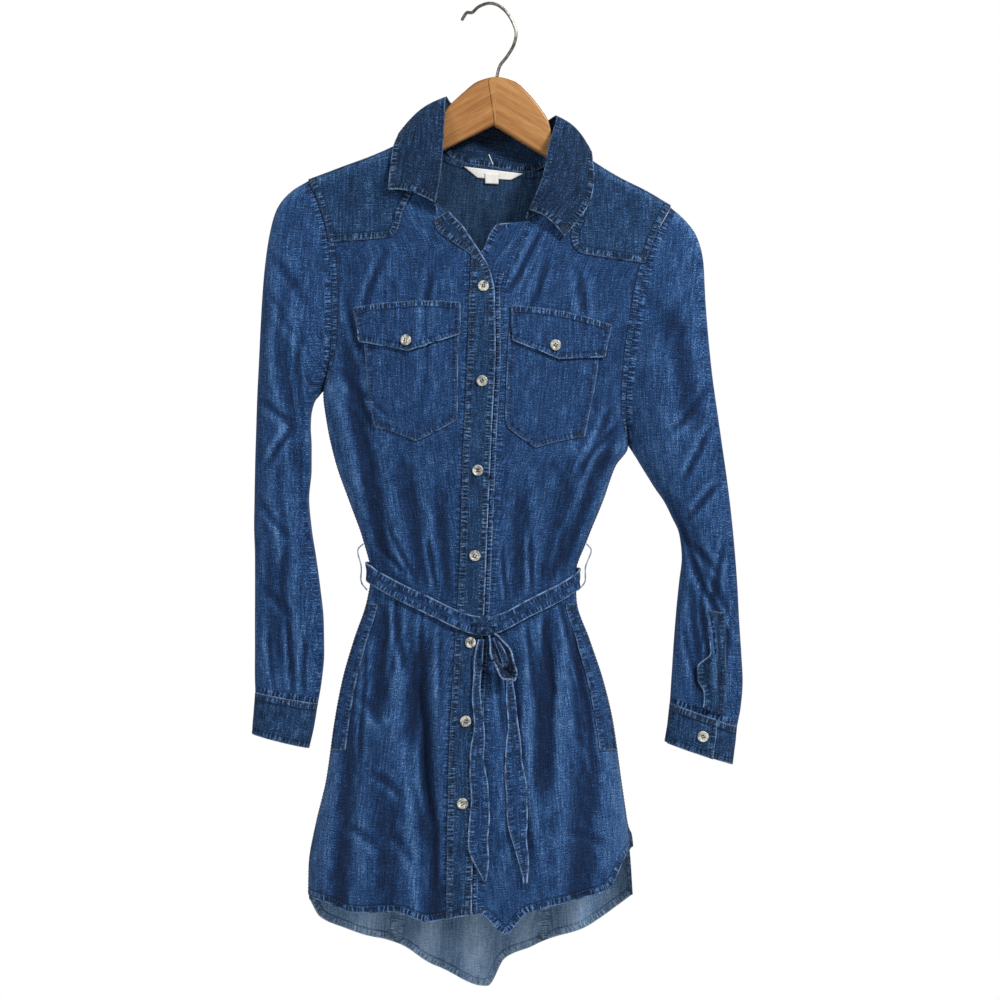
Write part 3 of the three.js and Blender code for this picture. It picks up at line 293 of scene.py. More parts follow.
COLLAR = table("face out baseX baseZ rollX rollY rollZ leafX leafY leafZ", [
    (-1, 2.6, -53, -223, -54, -34, -214, -104, -26, -199),
    (-1, 2.6, -56, -203, -49, -31, -184, -102, -21, -176),
    (-1, 0.4, -64.3, -166, -46, -22, -146, -99, -15, -153),
    (-1, 0, -60.5, -132, -45, -13, -118, -96, -8, -143),
    (0, 0, -59.5, -122, -44, -1, -98, -92, 2, -134),
    (1, 0, -57.5, -131, -40, 14, -101, -83, 18, -142),
    (1, 0, -38, -159, -28, 27, -112, -60, 36, -168),
    (1, 0, 4, -169, 6, 33, -122, 8, 38, -182),
    (1, 0, 48, -173, 46, 27, -129, 82, 36, -192),
    (1, 0, 79.5, -152, 64, 14, -120, 100, 18, -164),
    (0, 0, 82.5, -143, 72, -1, -118, 108, 2, -154),
    (-1, 0, 82, -154, 67, -13, -138, 110, -12, -168),
    (-1, 0.4, 80.3, -182, 63, -21, -152, 111, -18, -184),
    (-1, 0.8, 60, -212, 56, -32, -188, 106, -24, -212),
    (-1, 1, 40, -229, 42, -36, -221, 80, -34, -249),
])
COLLAR_AXIS_X = 12
LEAF_BELLY = 5

BACK_NECK = table("x z", [
    (-61, -124.5), (-59.5, -130), (-54, -146), (-40, -160), (4, -171), (50, -175), (76, -163),
    (82.5, -151), (84, -145.5),
])
BACK_SEAMS = {
    "right": table("z x", [(-155, -120), (-400, -88), (-590, -66), (-1000, -108)]),
    "left": table("z x", [(-183, 139), (-400, 70), (-590, 42), (-1000, 66)]),
}

YOKE_LINES = {
    "right": table("x z", [
        (-170, -251), (-114, -247), (-103, -238), (-92, -224), (-80, -209), (-60, -184),
    ]),
    "left": table("x z", [
        (60, -187), (84, -217), (94, -233), (104, -255), (113, -263), (126, -266), (170, -273),
    ]),
}

POCKETS = {
    "right": {
        "inner": table("z x", [(-336, -30), (-437, -31)]),
        "outer": table("z x", [(-336, -129), (-400, -124), (-444, -115)]),
        "point": (-74, -459), "corners": (-437, -444), "top": -337,
    },
    "left": {
        "inner": table("z x", [(-336, 22), (-437, 18), (-446, 21)]),
        "outer": table("z x", [(-336, 118), (-377, 114), (-454, 98)]),
        "point": (50, -466), "corners": (-445, -455), "top": -345,
    },
}
FLAPS = {
    "right": {"x": (-28, -140), "top": (-316, -320), "bottom": (-349, -354), "lean": (0, 9),
              "point": (-81, -366)},
    "left": {"x": (24, 129), "top": (-319, -338), "bottom": (-355, -371), "lean": (1, -9),
             "point": (73, -374)},
}
FLAP_RISE = 4
POCKET_BUTTONS = {"right": (-83, -355), "left": (69, -360)}

RING = "ox oz ix iz depth y share"

SLEEVES = {
    "right": table(RING, [
        (-189.6, -185, -174.6, -406, 22, 0, 1),
        (-207, -196, -177, -409, 24, 0, 0.75),
        (-222, -215, -179, -412, 27, 0, 0.5),
        (-230, -245, -181, -414.5, 29, 0, 0.3),
        (-235, -285, -182.5, -418, 30, -1, 0.15),
        (-238, -330, -184, -423, 30, -1, 0.05),
        (-240, -375, -185.5, -432, 29, -2, 0),
        (-242, -415, -186, -445, 28, -2, 0),
        (-243, -450, -185, -463, 27, -3, 0),
        (-244, -483, -185, -488, 25, -3, 0),
        (-244.5, -515, -187.5, -518, 24, -4, 0),
        (-245, -547, -185, -548, 23, -4, 0),
        (-244, -580, -180, -580, 22, -5, 0),
        (-244, -613, -175.5, -613, 21, -5, 0),
        (-244, -645, -172, -647, 20, -6, 0),
        (-244, -674, -171.5, -680, 19, -6, 0),
        (-244, -700, -174, -709, 18, -7, 0),
        (-243.5, -721, -178, -733, 17, -7, 0),
    ]),
    "left": table(RING, [
        (192.6, -213, 148.6, -463, 22, 0, 1),
        (207, -226, 150.5, -466, 24, 0, 0.75),
        (219, -243, 152, -469, 27, -1, 0.5),
        (226, -270, 153.5, -472, 29, -1, 0.3),
        (228, -310, 155.5, -475.5, 30, -2, 0.15),
        (231, -350, 158, -480, 30, -3, 0.05),
        (235, -390, 161.5, -486, 29, -4, 0),
        (240, -427, 167, -495, 28, -6, 0),
        (244.5, -460, 175, -508, 27, -8, 0),
        (249, -492, 184, -521, 26, -9, 0),
        (253, -524, 192, -537, 25, -10, 0),
        (256, -554, 200, -556, 24, -12, 0),
        (258.5, -584, 202.5, -580, 23, -13, 0),
        (260.5, -614, 199.5, -606, 22, -14, 0),
        (262, -645, 196.5, -635, 21, -15, 0),
        (264, -677, 194, -665, 20, -16, 0),
        (265.5, -708, 192, -694, 19, -17, 0),
        (263.5, -734, 190.5, -716, 18, -18, 0),
        (259.5, -756, 189.5, -732, 17, -18, 0),
    ]),
}
CUFFS = {
    "right": table(RING, [
        (-243.6, -720, -178, -732, 18.2, -7, 0),
        (-245.5, -743, -182, -757, 17.8, -7, 0),
        (-247, -764, -187, -779, 17, -7, 0),
    ]),
    "left": table(RING, [
        (259.6, -755, 189.4, -731, 18.2, -18, 0),
        (257.5, -776, 187, -752, 17.8, -18, 0),
        (255, -795, 184, -771, 17, -18, 0),
    ]),
}
TUBE_SIDES = 18
PLACKET_SIDES = (3, 5)
CUFF_LAP = (68, 160)
SLIT_WAVE = table("z shift", [
    (-640, 5), (-678, 8), (-692, -6), (-706, -5), (-718, 2), (-730, 3), (-750, 0),
])

KNOT_AT = (-3, -650)
KNOT_SIZE = (23, 11, 20)
TAILS = {
    "right": table("z x1 x2 out", [
        (-663, -10, -3, 7), (-682, -14, -6, 7), (-715, -15, -7, 6), (-752, -15, -4, 6),
        (-782, -18, -3, 4.3), (-812, -18, 0, 4.2), (-845, -18, 2, 4.2), (-872, -20, 1, 5),
        (-908, -5, -1, 5),
    ]),
    "left": table("z x1 x2 out", [
        (-662, 5, 11, 5), (-690, 15, 23, 5), (-718, 20, 28, 5), (-752, 20, 31, 5),
        (-790, 18, 37, 8), (-822, 18, 40, 10), (-855, 22, 41, 10), (-885, 30, 41, 8),
        (-910, 37, 40, 8),
    ]),
}
LOOP_PATH = table("x z out", [
    (0.6, -658.5, 9), (3, -675, 12), (9, -692, 12), (18, -702, 11), (27, -703, 11),
    (29, -694, 12), (25, -678, 14), (17, -664, 14), (6.6, -656, 11),
])
LOOP_WIDTH = 13
LOOP_CENTRE = (16, -682)
LOOP_FLARE = 0.62

WOOD_TOP = table("x z", [
    (-48, -113), (-39, -104), (-27, -93), (-10, -80), (9, -75.5), (28, -80), (41, -91),
    (54, -106), (66, -124),
])
WOOD_ENDS = (-182, 185)
WOOD_BOTTOM = table("x z", [
    (-182, -203), (-110, -186), (-45, -152), (6, -127), (60, -160), (115, -199), (185, -231),
])
WOOD_THICKNESS = 12
WOOD_EDGE_ROUND = 4.8
WOOD_CLEARANCE = 1.6
NECK_MIDDLE = 11.5
NECK_REACH = 95

HOOK_PATH = table("x z", [
    (-27, -15), (-22, -8), (-17, -8), (-10, -2), (0, 1.7), (9, 0.5), (18, -6), (25, -16),
    (29.5, -29), (27, -42), (20, -54), (12.5, -64), (9.5, -74.8),
])
WIRE_RADIUS = 1.7


# Reading the tables


def mix(a, b, share):
    return a + (b - a) * share


def smooth(low, high, value):
    share = np.clip((value - low) / (high - low), 0, 1)
    return share * share * (3 - 2 * share)


def read(rows, by, name, at):
    """A column read as a smooth curve that never overshoots its rows."""
    xs, ys = rows[by], rows[name]
    if xs[-1] < xs[0]:
        xs, ys = xs[::-1], ys[::-1]
    at = np.clip(np.asarray(at, float), xs[0], xs[-1])
    steps = np.diff(xs)
    slopes = np.diff(ys) / steps
    tangents = np.concatenate([slopes[:1], np.zeros(len(xs) - 2), slopes[-1:]])
    before, after = slopes[:-1], slopes[1:]
    same = before * after > 0
    total = np.where(same, before + after, 1)
    tangents[1:-1] = np.where(same, 2 * before * after / total, 0)
    i = np.clip(np.searchsorted(xs, at, side="right") - 1, 0, len(xs) - 2)
    t = (at - xs[i]) / steps[i]
    return (ys[i] * (2 * t**3 - 3 * t**2 + 1) + ys[i + 1] * (3 * t**2 - 2 * t**3)
            + steps[i] * (tangents[i] * (t**3 - 2 * t**2 + t) + tangents[i + 1] * (t**3 - t**2)))


def by_index(rows, count):
    """All columns of a table, read at evenly spaced places between its rows."""
    index = np.arange(len(next(iter(rows.values()))), dtype=float)
    at = np.linspace(0, index[-1], count)
    return {name: read({"i": index, "v": column}, "i", "v", at) for name, column in rows.items()}


def edge_x(side, z):
    return read(EDGES[side], "z", "x", z)


def shoulder_z(x):
    return read(SHOULDER, "x", "z", x)


def belt_z(x):
    return read(BELT_FRONT, "x", "z", x)


def fold_depth(folds, x, z):
    depth = np.zeros(np.broadcast(x, z).shape)
    for x1, z1, x2, z2, width, deep in zip(*folds.values()):
        share = (z - z1) / (z2 - z1)
        fade = smooth(-0.05, 0.35, share) * smooth(1.1, 0.85, share)
        depth += deep * fade * np.exp(-(((x - mix(x1, x2, share)) / width) ** 2))
    return depth


def crease_depth(creases, x, z):
    """Short troughs with a raised lip beside each, tapered at both ends."""
    depth = np.zeros(np.broadcast(x, z).shape)
    for x1, z1, x2, z2, width, deep in zip(*creases.values()):
        length = math.hypot(x2 - x1, z2 - z1)
        along = ((x - x1) * (x2 - x1) + (z - z1) * (z2 - z1)) / length
        aside = ((x - x1) * (z2 - z1) - (z - z1) * (x2 - x1)) / length
        aside = aside + width * 0.5 * np.sin(along / 17 + deep * 5)
        share = along / length
        fade = smooth(-0.12, 0.3, share) * smooth(1.15, 0.7, share)
        trough = np.exp(-((aside / width) ** 2))
        lip = 0.45 * np.exp(-(((aside - 1.7 * width) / width) ** 2))
        depth += deep * fade * (trough - lip)
    return depth


LATTICE = np.random.default_rng(7).random((128, 128))


def rumple(x, z, size, shift=0):
    """Even soft unevenness of worn cloth, from -1 to 1."""
    px, pz = x / size + 40.3 + shift, z / size + 61.7 + shift * 3
    i, j = np.floor(px).astype(int), np.floor(pz).astype(int)
    u, v = px - i, pz - j
    u, v = u * u * (3 - 2 * u), v * v * (3 - 2 * v)
    i, j = i % 127, j % 127
    low = mix(LATTICE[i, j], LATTICE[i + 1, j], u)
    high = mix(LATTICE[i, j + 1], LATTICE[i + 1, j + 1], u)
    return 2 * mix(low, high, v) - 1


def body_y(face, x, z):
    """Depth of the front (face -1) or back (face 1) wall at each place."""
    x, z = np.broadcast_arrays(np.asarray(x, float), np.asarray(z, float))
    front = face < 0
    right_x, left_x = edge_x("right", z), edge_x("left", z)
    middle = (right_x + left_x) / 2
    across = np.clip(np.abs(x - middle) / ((left_x - right_x) / 2), 0, 1)
    on_right = x < middle
    shoulder = np.where(on_right, SHOULDER_END["right"], SHOULDER_END["left"])
    armpit = np.where(on_right, ARMPIT["right"], ARMPIT["left"])
    share = np.clip((z - shoulder) / (armpit - shoulder), 0, 1)
    turn = read(EDGE_TURN, "share", "turn", share)
    rounded = read(EDGE_TURN, "share", "round", share)
    profile = 1 - turn * (1 - (1 - across * across) ** rounded)
    drop = np.maximum(shoulder_z(x) - z, 0)
    ridge = np.sqrt(1 - (1 - np.minimum(drop / SHOULDER_RIDGE, 1)) ** 2) * SHOULDER_RIDGE
    full = read(DEPTHS, "z", "front" if front else "back", z)
    spread = (full - SHOULDER_RIDGE) * (1 - np.exp(-drop / SHOULDER_SPREAD))
    belt_away = (z - (belt_z(x) if front else BELT_BACK_Z)) / BELT_PINCH_REACH
    pinch = np.exp(-belt_away * belt_away)
    folds = fold_depth(FOLDS[face], x, z) * (1 - pinch) + BELT_PINCH * pinch
    fine = crease_depth(CREASES[face], x, z)
    fine = fine + 0.55 * rumple(x, z * 0.5, 17) + 0.3 * rumple(x, z * 0.7, 8, 5)
    fine = fine + 1.2 * rumple(x, z * 0.45, 46, 11)
    folds = folds + fine * (1 - 0.7 * pinch)
    stiff = 0
    if front:
        placket_away = (x - read(PLACKET_EDGE, "z", "x", z) + PLACKET_WIDTH / 2) / PLACKET_WIDTH
        stiff = 0.9 * np.exp(-(placket_away**4))
    folds = folds * (1 - across**8) * (1 - stiff) * smooth(0, 12, drop)
    return face * np.maximum((ridge + spread) * profile - folds, 0)


def on_body(face, x, z, out=0.0):
    """Points of the body's outer face, moved straight out by a distance."""
    x, z = np.broadcast_arrays(np.asarray(x, float), np.asarray(z, float))
    step = 2
    slope_x = (body_y(face, x + step, z) - body_y(face, x - step, z)) / (2 * step)
    slope_z = (body_y(face, x, z + step) - body_y(face, x, z - step)) / (2 * step)
    normal = np.stack([-slope_x, np.ones_like(x), -slope_z], -1) * face
    normal /= np.linalg.norm(normal, axis=-1, keepdims=True)
    out = np.asarray(out, float)[..., None] if np.ndim(out) else out
    return np.stack([x, body_y(face, x, z), z], -1) + normal * out


def towards_hem(face, x, z):
    """A level below HEM_START is stretched so that the last one is the hem."""
    hem = read(HEMS[face], "x", "z", x)
    return z + (hem - HEM_LEVEL) * smooth(HEM_START, HEM_LEVEL, z)


def parted(points, face):
    """Front and back meet at the ridge and the side seams, and nowhere cross."""
    points = points.copy()
    y = points[..., 1]
    points[..., 1] = np.where(np.abs(y) < SEAM_MEET, face * SEAM_MEET, y)
    return points


def spaced(length, cell=CELL, edge=1.3):
    """Shares from 0 to 1 across a length in millimetres, closer together near both ends."""
    near = [edge * n * (1 + 0.18 * n) for n in range(6)]
    near = [d for d in near if d < length / 2]
    inner = max(int(round((length - 2 * near[-1]) / cell)), 1)
    middle = np.linspace(near[-1], length - near[-1], inner + 1)
    places = near[:-1] + list(middle) + [length - d for d in reversed(near[:-1])]
    return np.array(places) / length


# Meshes


def to_linear(text):
    """sRGB hex to linear RGBA."""
    parts = [int(text[n:n + 2], 16) / 255 for n in (1, 3, 5)]
    return (*[p / 12.92 if p <= 0.04045 else ((p + 0.055) / 1.055) ** 2.4 for p in parts], 1.0)


def grid_normals(grid, closed):
    if closed:
        along = np.roll(grid, -1, 1) - np.roll(grid, 1, 1)
    else:
        along = np.gradient(grid, axis=1)
    down = np.gradient(grid, axis=0)
    normal = np.cross(along, down)
    return normal / np.maximum(np.linalg.norm(normal, axis=-1, keepdims=True), 1e-9)


def outward(grid, core, closed=False):
    """Normals that point away from a core: a point, or one for each point of the grid."""
    normal = grid_normals(grid, closed)
    facing = np.sign((normal * (grid - core)).sum(-1)).sum()
    return (normal, 1) if facing > 0 else (-normal, -1)


def blurred(grid, reach, closed):
    """Each point's mean with its neighbours, so that ridges and troughs stand out."""
    total = grid.copy()
    for axis in (0, 1):
        pad = [(reach, reach) if axis == n else (0, 0) for n in (0, 1)] + [(0, 0)]
        wide = np.pad(total, pad, mode="wrap" if closed and axis == 1 else "edge")
        count = total.shape[axis]
        total = sum(np.take(wide, range(k, k + count), axis=axis) for k in range(2 * reach + 1))
        total = total / (2 * reach + 1)
    return total


def edge_line(grid, edge):
    return {"top": grid[0], "bottom": grid[-1], "start": grid[:, 0], "end": grid[:, -1]}[edge]


def from_edges(points, edges):
    """Distance to the nearest of the edges, the place along it, and that edge's finish."""
    count = len(points)
    best = np.full(count, 1e3)
    along = np.zeros(count)
    finish = np.zeros((count, 3))
    for number, (line, rope, worn, fell) in enumerate(edges):
        lengths = np.concatenate([[0], np.cumsum(np.linalg.norm(np.diff(line, axis=0), axis=1))])
        for low in range(0, count, 4000):
            part = points[low:low + 4000]
            near = ((part[:, None] - line[None]) ** 2).sum(-1).argmin(1)
            distance = np.full(len(part), 1e3)
            place = np.zeros(len(part))
            for shift in (-1, 0):
                a = np.clip(near + shift, 0, len(line) - 2)
                start, step = line[a], line[a + 1] - line[a]
                size = np.maximum((step**2).sum(-1), 1e-9)
                t = np.clip(((part - start) * step).sum(-1) / size, 0, 1)
                gap = np.linalg.norm(part - start - step * t[:, None], axis=1)
                closer = gap < distance
                distance = np.where(closer, gap, distance)
                place = np.where(closer, lengths[a] + t * np.sqrt(size), place)
            rows = np.arange(low, low + len(part))
            closer = distance < best[rows]
            rows = rows[closer]
            best[rows] = distance[closer]
            along[rows] = place[closer] + 311 * number
            finish[rows] = (rope, worn, fell)
    return best, along, finish


def new_object(name, vertices, faces, materials, face_slots=None, is_smooth=True):
    """A mesh object in metres from vertices in millimetres."""
    mesh = bpy.data.meshes.new(name)
    mesh.from_pydata((np.asarray(vertices) / 1000).tolist(), [], [tuple(f) for f in faces])
    for material in materials:
        mesh.materials.append(material)
    if face_slots is not None:
        mesh.polygons.foreach_set("material_index", np.asarray(face_slots, np.int32))
    mesh.polygons.foreach_set("use_smooth", [is_smooth] * len(mesh.polygons))
    mesh.update()
    piece = bpy.data.objects.new(name, mesh)
    bpy.context.scene.collection.objects.link(piece)
    return piece


def put_attribute(piece, name, values):
    attribute = piece.data.attributes.new(name, "FLOAT_VECTOR", "POINT")
    attribute.data.foreach_set("vector", np.ascontiguousarray(values, np.float32).ravel())


def settle(piece, nodes=()):
    """A finished piece rides on the one body and stands for its CAD nodes."""
    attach(piece, "root")
    if nodes:
        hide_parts(*nodes)
    return piece


def shell(name, grid, thickness, core, materials, edges=(), closed=False, straight=None,
          shade=0.0):
    """Cloth with a face, a reverse and rims, from a grid of points on its face.

    edges gives the finish of its sewn or folded edges: (edge, rope, worn, felled width).
    straight gives the thread directions where they don't follow the grid, and shade is how
    much painted shade darkens each point.
    """
    rows, columns = grid.shape[:2]
    normal, facing = outward(grid, core, closed)
    face_points = grid.reshape(-1, 3)
    back_points = (grid - normal * thickness).reshape(-1, 3)
    n = rows * columns
    cells = columns if closed else columns - 1
    j, i = np.meshgrid(np.arange(rows - 1), np.arange(cells), indexing="ij")
    a, b = j * columns + i, j * columns + (i + 1) % columns
    c, d = b + columns, a + columns
    quads = np.stack([a, b, c, d], -1).reshape(-1, 4)
    if facing < 0:
        quads = quads[:, ::-1]
    back = quads[:, ::-1] + n
    rims = []

    def rim(line, turn):
        for p, q in zip(line[:-1], line[1:]):
            rims.append((p, p + n, q + n, q) if turn * facing > 0 else (q, q + n, p + n, p))

    across = np.append(np.arange(cells), columns % columns if closed else cells)
    rim(across, 1)
    rim(across + (rows - 1) * columns, -1)
    if not closed:
        down = np.arange(rows) * columns
        rim(down, -1)
        rim(down + columns - 1, 1)
    faces = quads.tolist() + back.tolist() + rims
    slots = [0] * len(quads) + [1] * len(back) + [0] * len(rims)
    piece = new_object(name, np.concatenate([face_points, back_points]), faces, materials, slots)
    lines = [(edge_line(grid, edge), rope, worn, fell) for edge, rope, worn, fell in edges]
    distance, along, finish = from_edges(face_points, lines)
    rim_gap = from_rim(grid, closed)
    # crest paints light and shade into the cloth's colour: ridges paler and troughs darker, partly the
    # dye that troughs really keep.
    crest = ((grid - blurred(grid, 2, closed)) * normal).sum(-1) * smooth(1, 9, rim_gap)
    if min(rows, columns) > 40:
        swell = ((grid - blurred(grid, 5, closed)) * normal).sum(-1)[..., None]
        swell = (swell - blurred(swell, 16, closed))[..., 0] * smooth(3, 30, rim_gap)
        crest = 1.7 * crest + 0.2 * swell
    # shade lowers the crest further: painted shade in the troughs of the long folds.
    crest = (1.5 * np.tanh((crest - shade) / 1.5)).ravel()
    middle_row, middle_column = rows // 2, columns // 2
    u = arc(grid, 1, middle_column)
    v = arc(grid, 0, middle_row)
    if straight is not None:
        u, v = straight
    weave = np.stack([u.ravel(), v.ravel(), np.zeros(n)], -1)
    put_attribute(piece, "weave", np.tile(weave, (2, 1)))
    put_attribute(piece, "seam", np.tile(np.stack([distance, along, finish[:, 0]], -1), (2, 1)))
    # The wear_and_shade attribute carries the crest's painted light and shade, with the real wear of the
    # edges and their felled width.
    worn = np.stack([crest, finish[:, 1], finish[:, 2]], -1)
    put_attribute(piece, "wear_and_shade", np.concatenate([worn, worn * (-1, 1, 1)]))
    SURFACES[name] = (grid, normal)
    return piece


SURFACES = {}


def arc(grid, axis, middle):
    """Length along the cloth from its middle line."""
    steps = np.linalg.norm(np.diff(grid, axis=axis), axis=-1)
    lengths = np.insert(np.cumsum(steps, axis), 0, 0, axis=axis)
    return lengths - np.take(lengths, [middle], axis)


def from_rim(grid, closed):
    """A rough distance of each point from the nearest rim."""
    rows, columns = grid.shape[:2]
    down = arc(grid, 0, 0)
    near = np.minimum(down, down[-1:] - down)
    if not closed:
        over = arc(grid, 1, 0)
        near = np.minimum(near, np.minimum(over, over[:, -1:] - over))
    return near


def inset(name, edge, distance, lift=0.12, low=0.0, high=1.0):
    """A line on a piece's face at a distance inside one of its edges, with its normals."""
    grid, normal = SURFACES[name]
    if edge in ("top", "bottom"):
        grid, normal = grid.swapaxes(0, 1), normal.swapaxes(0, 1)
    if edge in ("end", "bottom"):
        grid, normal = grid[:, ::-1], normal[:, ::-1]
    lengths = arc(grid, 1, 0)
    line, ups = [], []
    first, last = int(low * len(grid)), int(math.ceil(high * len(grid)))
    for row in range(first, last):
        k = int(np.clip(np.searchsorted(lengths[row], distance) - 1, 0, grid.shape[1] - 2))
        span = max(lengths[row, k + 1] - lengths[row, k], 1e-6)
        t = min(max((distance - lengths[row, k]) / span, 0), 1)
        up = mix(normal[row, k], normal[row, k + 1], t)
        line.append(mix(grid[row, k], grid[row, k + 1], t) + up * lift)
        ups.append(up)
    return np.array(line), np.array(ups)


def tube(name, path, radius, sides, material, twist=None):
    """A round rod or thread along a path, with rounded ends."""
    path = np.asarray(path, float)
    tangent = np.gradient(path, axis=0)
    tangent /= np.linalg.norm(tangent, axis=1, keepdims=True)
    side = np.cross(tangent, (0, 1, 0))
    side /= np.maximum(np.linalg.norm(side, axis=1, keepdims=True), 1e-9)
    up = np.cross(side, tangent)
    rings = []
    angles = np.linspace(0, 2 * np.pi, sides, endpoint=False)
    stations = [(0, -radius, 0.02), (0, -0.87 * radius, 0.5), (0, -0.5 * radius, 0.87)]
    stations += [(k, 0, 1) for k in range(len(path))]
    last = len(path) - 1
    stations += [(last, 0.5 * radius, 0.87), (last, 0.87 * radius, 0.5), (last, radius, 0.02)]
    for k, along, share in stations:
        bulge = 1 if twist is None else 1 + 0.12 * np.sin(angles * 2 + k * twist)
        ring = (np.cos(angles) * bulge)[:, None] * side[k] + (np.sin(angles) * bulge)[:, None] * up[k]
        rings.append(path[k] + tangent[k] * along + ring * radius * share)
    vertices = np.concatenate(rings)
    faces = []
    for row in range(len(rings) - 1):
        for k in range(sides):
            a, b = row * sides + k, row * sides + (k + 1) % sides
            faces.append((a, b, b + sides, a + sides))
    faces.append(tuple(range(sides))[::-1])
    faces.append(tuple(range(len(vertices) - sides, len(vertices))))
    return new_object(name, vertices, faces, [material])


def catmull(points, count):
    """A smooth curve through points, read at evenly spaced shares of its spans."""
    points = np.asarray(points, float)
    last = len(points) - 1
    result = []
    for t in np.linspace(0, 1, count):
        place = last * t
        i = min(int(place), last - 1)
        w = place - i
        p1, p2 = points[i], points[i + 1]
        p0 = points[i - 1] if i > 0 else 2 * p1 - p2
        p3 = points[i + 2] if i + 2 <= last else 2 * p2 - p1
        d1 = max(np.sum((p2 - p1) ** 2) ** 0.25, 1e-4)
        d0 = max(np.sum((p1 - p0) ** 2) ** 0.25, 1e-4)
        d2 = max(np.sum((p3 - p2) ** 2) ** 0.25, 1e-4)
        t1 = ((p1 - p0) / d0 - (p2 - p0) / (d0 + d1) + (p2 - p1) / d1) * d1
        t2 = ((p2 - p1) / d1 - (p3 - p1) / (d1 + d2) + (p3 - p2) / d2) * d1
        c2 = -3 * p1 + 3 * p2 - 2 * t1 - t2
        c3 = 2 * p1 - 2 * p2 + t1 + t2
        result.append(p1 + t1 * w + c2 * w * w + c3 * w**3)
    return np.array(result)


# Materials


def add_node(tree, kind, settings=None, **inputs):
    """One node, its properties, and its inputs: a value, or a socket to link from."""
    made = tree.nodes.new(kind)
    for name, value in (settings or {}).items():
        setattr(made, name, value)
    for name, value in inputs.items():
        key = int(name[1:]) if name[0] == "_" and name[1:].isdigit() else name.replace("_", " ")
        socket = made.inputs[key]
        if isinstance(value, bpy.types.NodeSocket):
            tree.links.new(value, socket)
        else:
            socket.default_value = value
    return made


def new_material(name):
    material = bpy.data.materials.new(name)
    material.use_nodes = True
    material.node_tree.nodes.clear()
    return material, material.node_tree


def maths(tree, operation, a, b=0.0, clamp=False):
    settings = {"operation": operation, "use_clamp": clamp}
    return add_node(tree, "ShaderNodeMath", settings, _0=a, _1=b).outputs[0]


def weighted(tree, start, parts):
    """start plus each (socket, weight) of the parts."""
    total = start
    for socket, weight in parts:
        settings = {"operation": "MULTIPLY_ADD"}
        total = add_node(tree, "ShaderNodeMath", settings, _0=socket, _1=weight, _2=total).outputs[0]
    return total


def ramp(tree, value, stops):
    made = add_node(tree, "ShaderNodeValToRGB", None, Fac=value)
    elements = made.color_ramp.elements
    while len(elements) < len(stops):
        elements.new(0.5)
    for element, (place, colour) in zip(elements, stops):
        element.position = place
        element.color = to_linear(colour)
    return made.outputs["Color"]


def ranged(tree, value, low, high, to_low=0.0, to_high=1.0):
    made = add_node(tree, "ShaderNodeMapRange", {"interpolation_type": "SMOOTHSTEP"}, _0=value,
                    _1=low, _2=high, _3=to_low, _4=to_high)
    return made.outputs[0]


def finish_surface(tree, height, distance, **shader):
    """Bump, the shader with its own constants, and the output."""
    bump = add_node(tree, "ShaderNodeBump", None, Strength=1.0, Distance=distance, Height=height)
    made = add_node(tree, "ShaderNodeBsdfPrincipled", None, Normal=bump.outputs[0], **shader)
    add_node(tree, "ShaderNodeOutputMaterial", None, Surface=made.outputs[0])


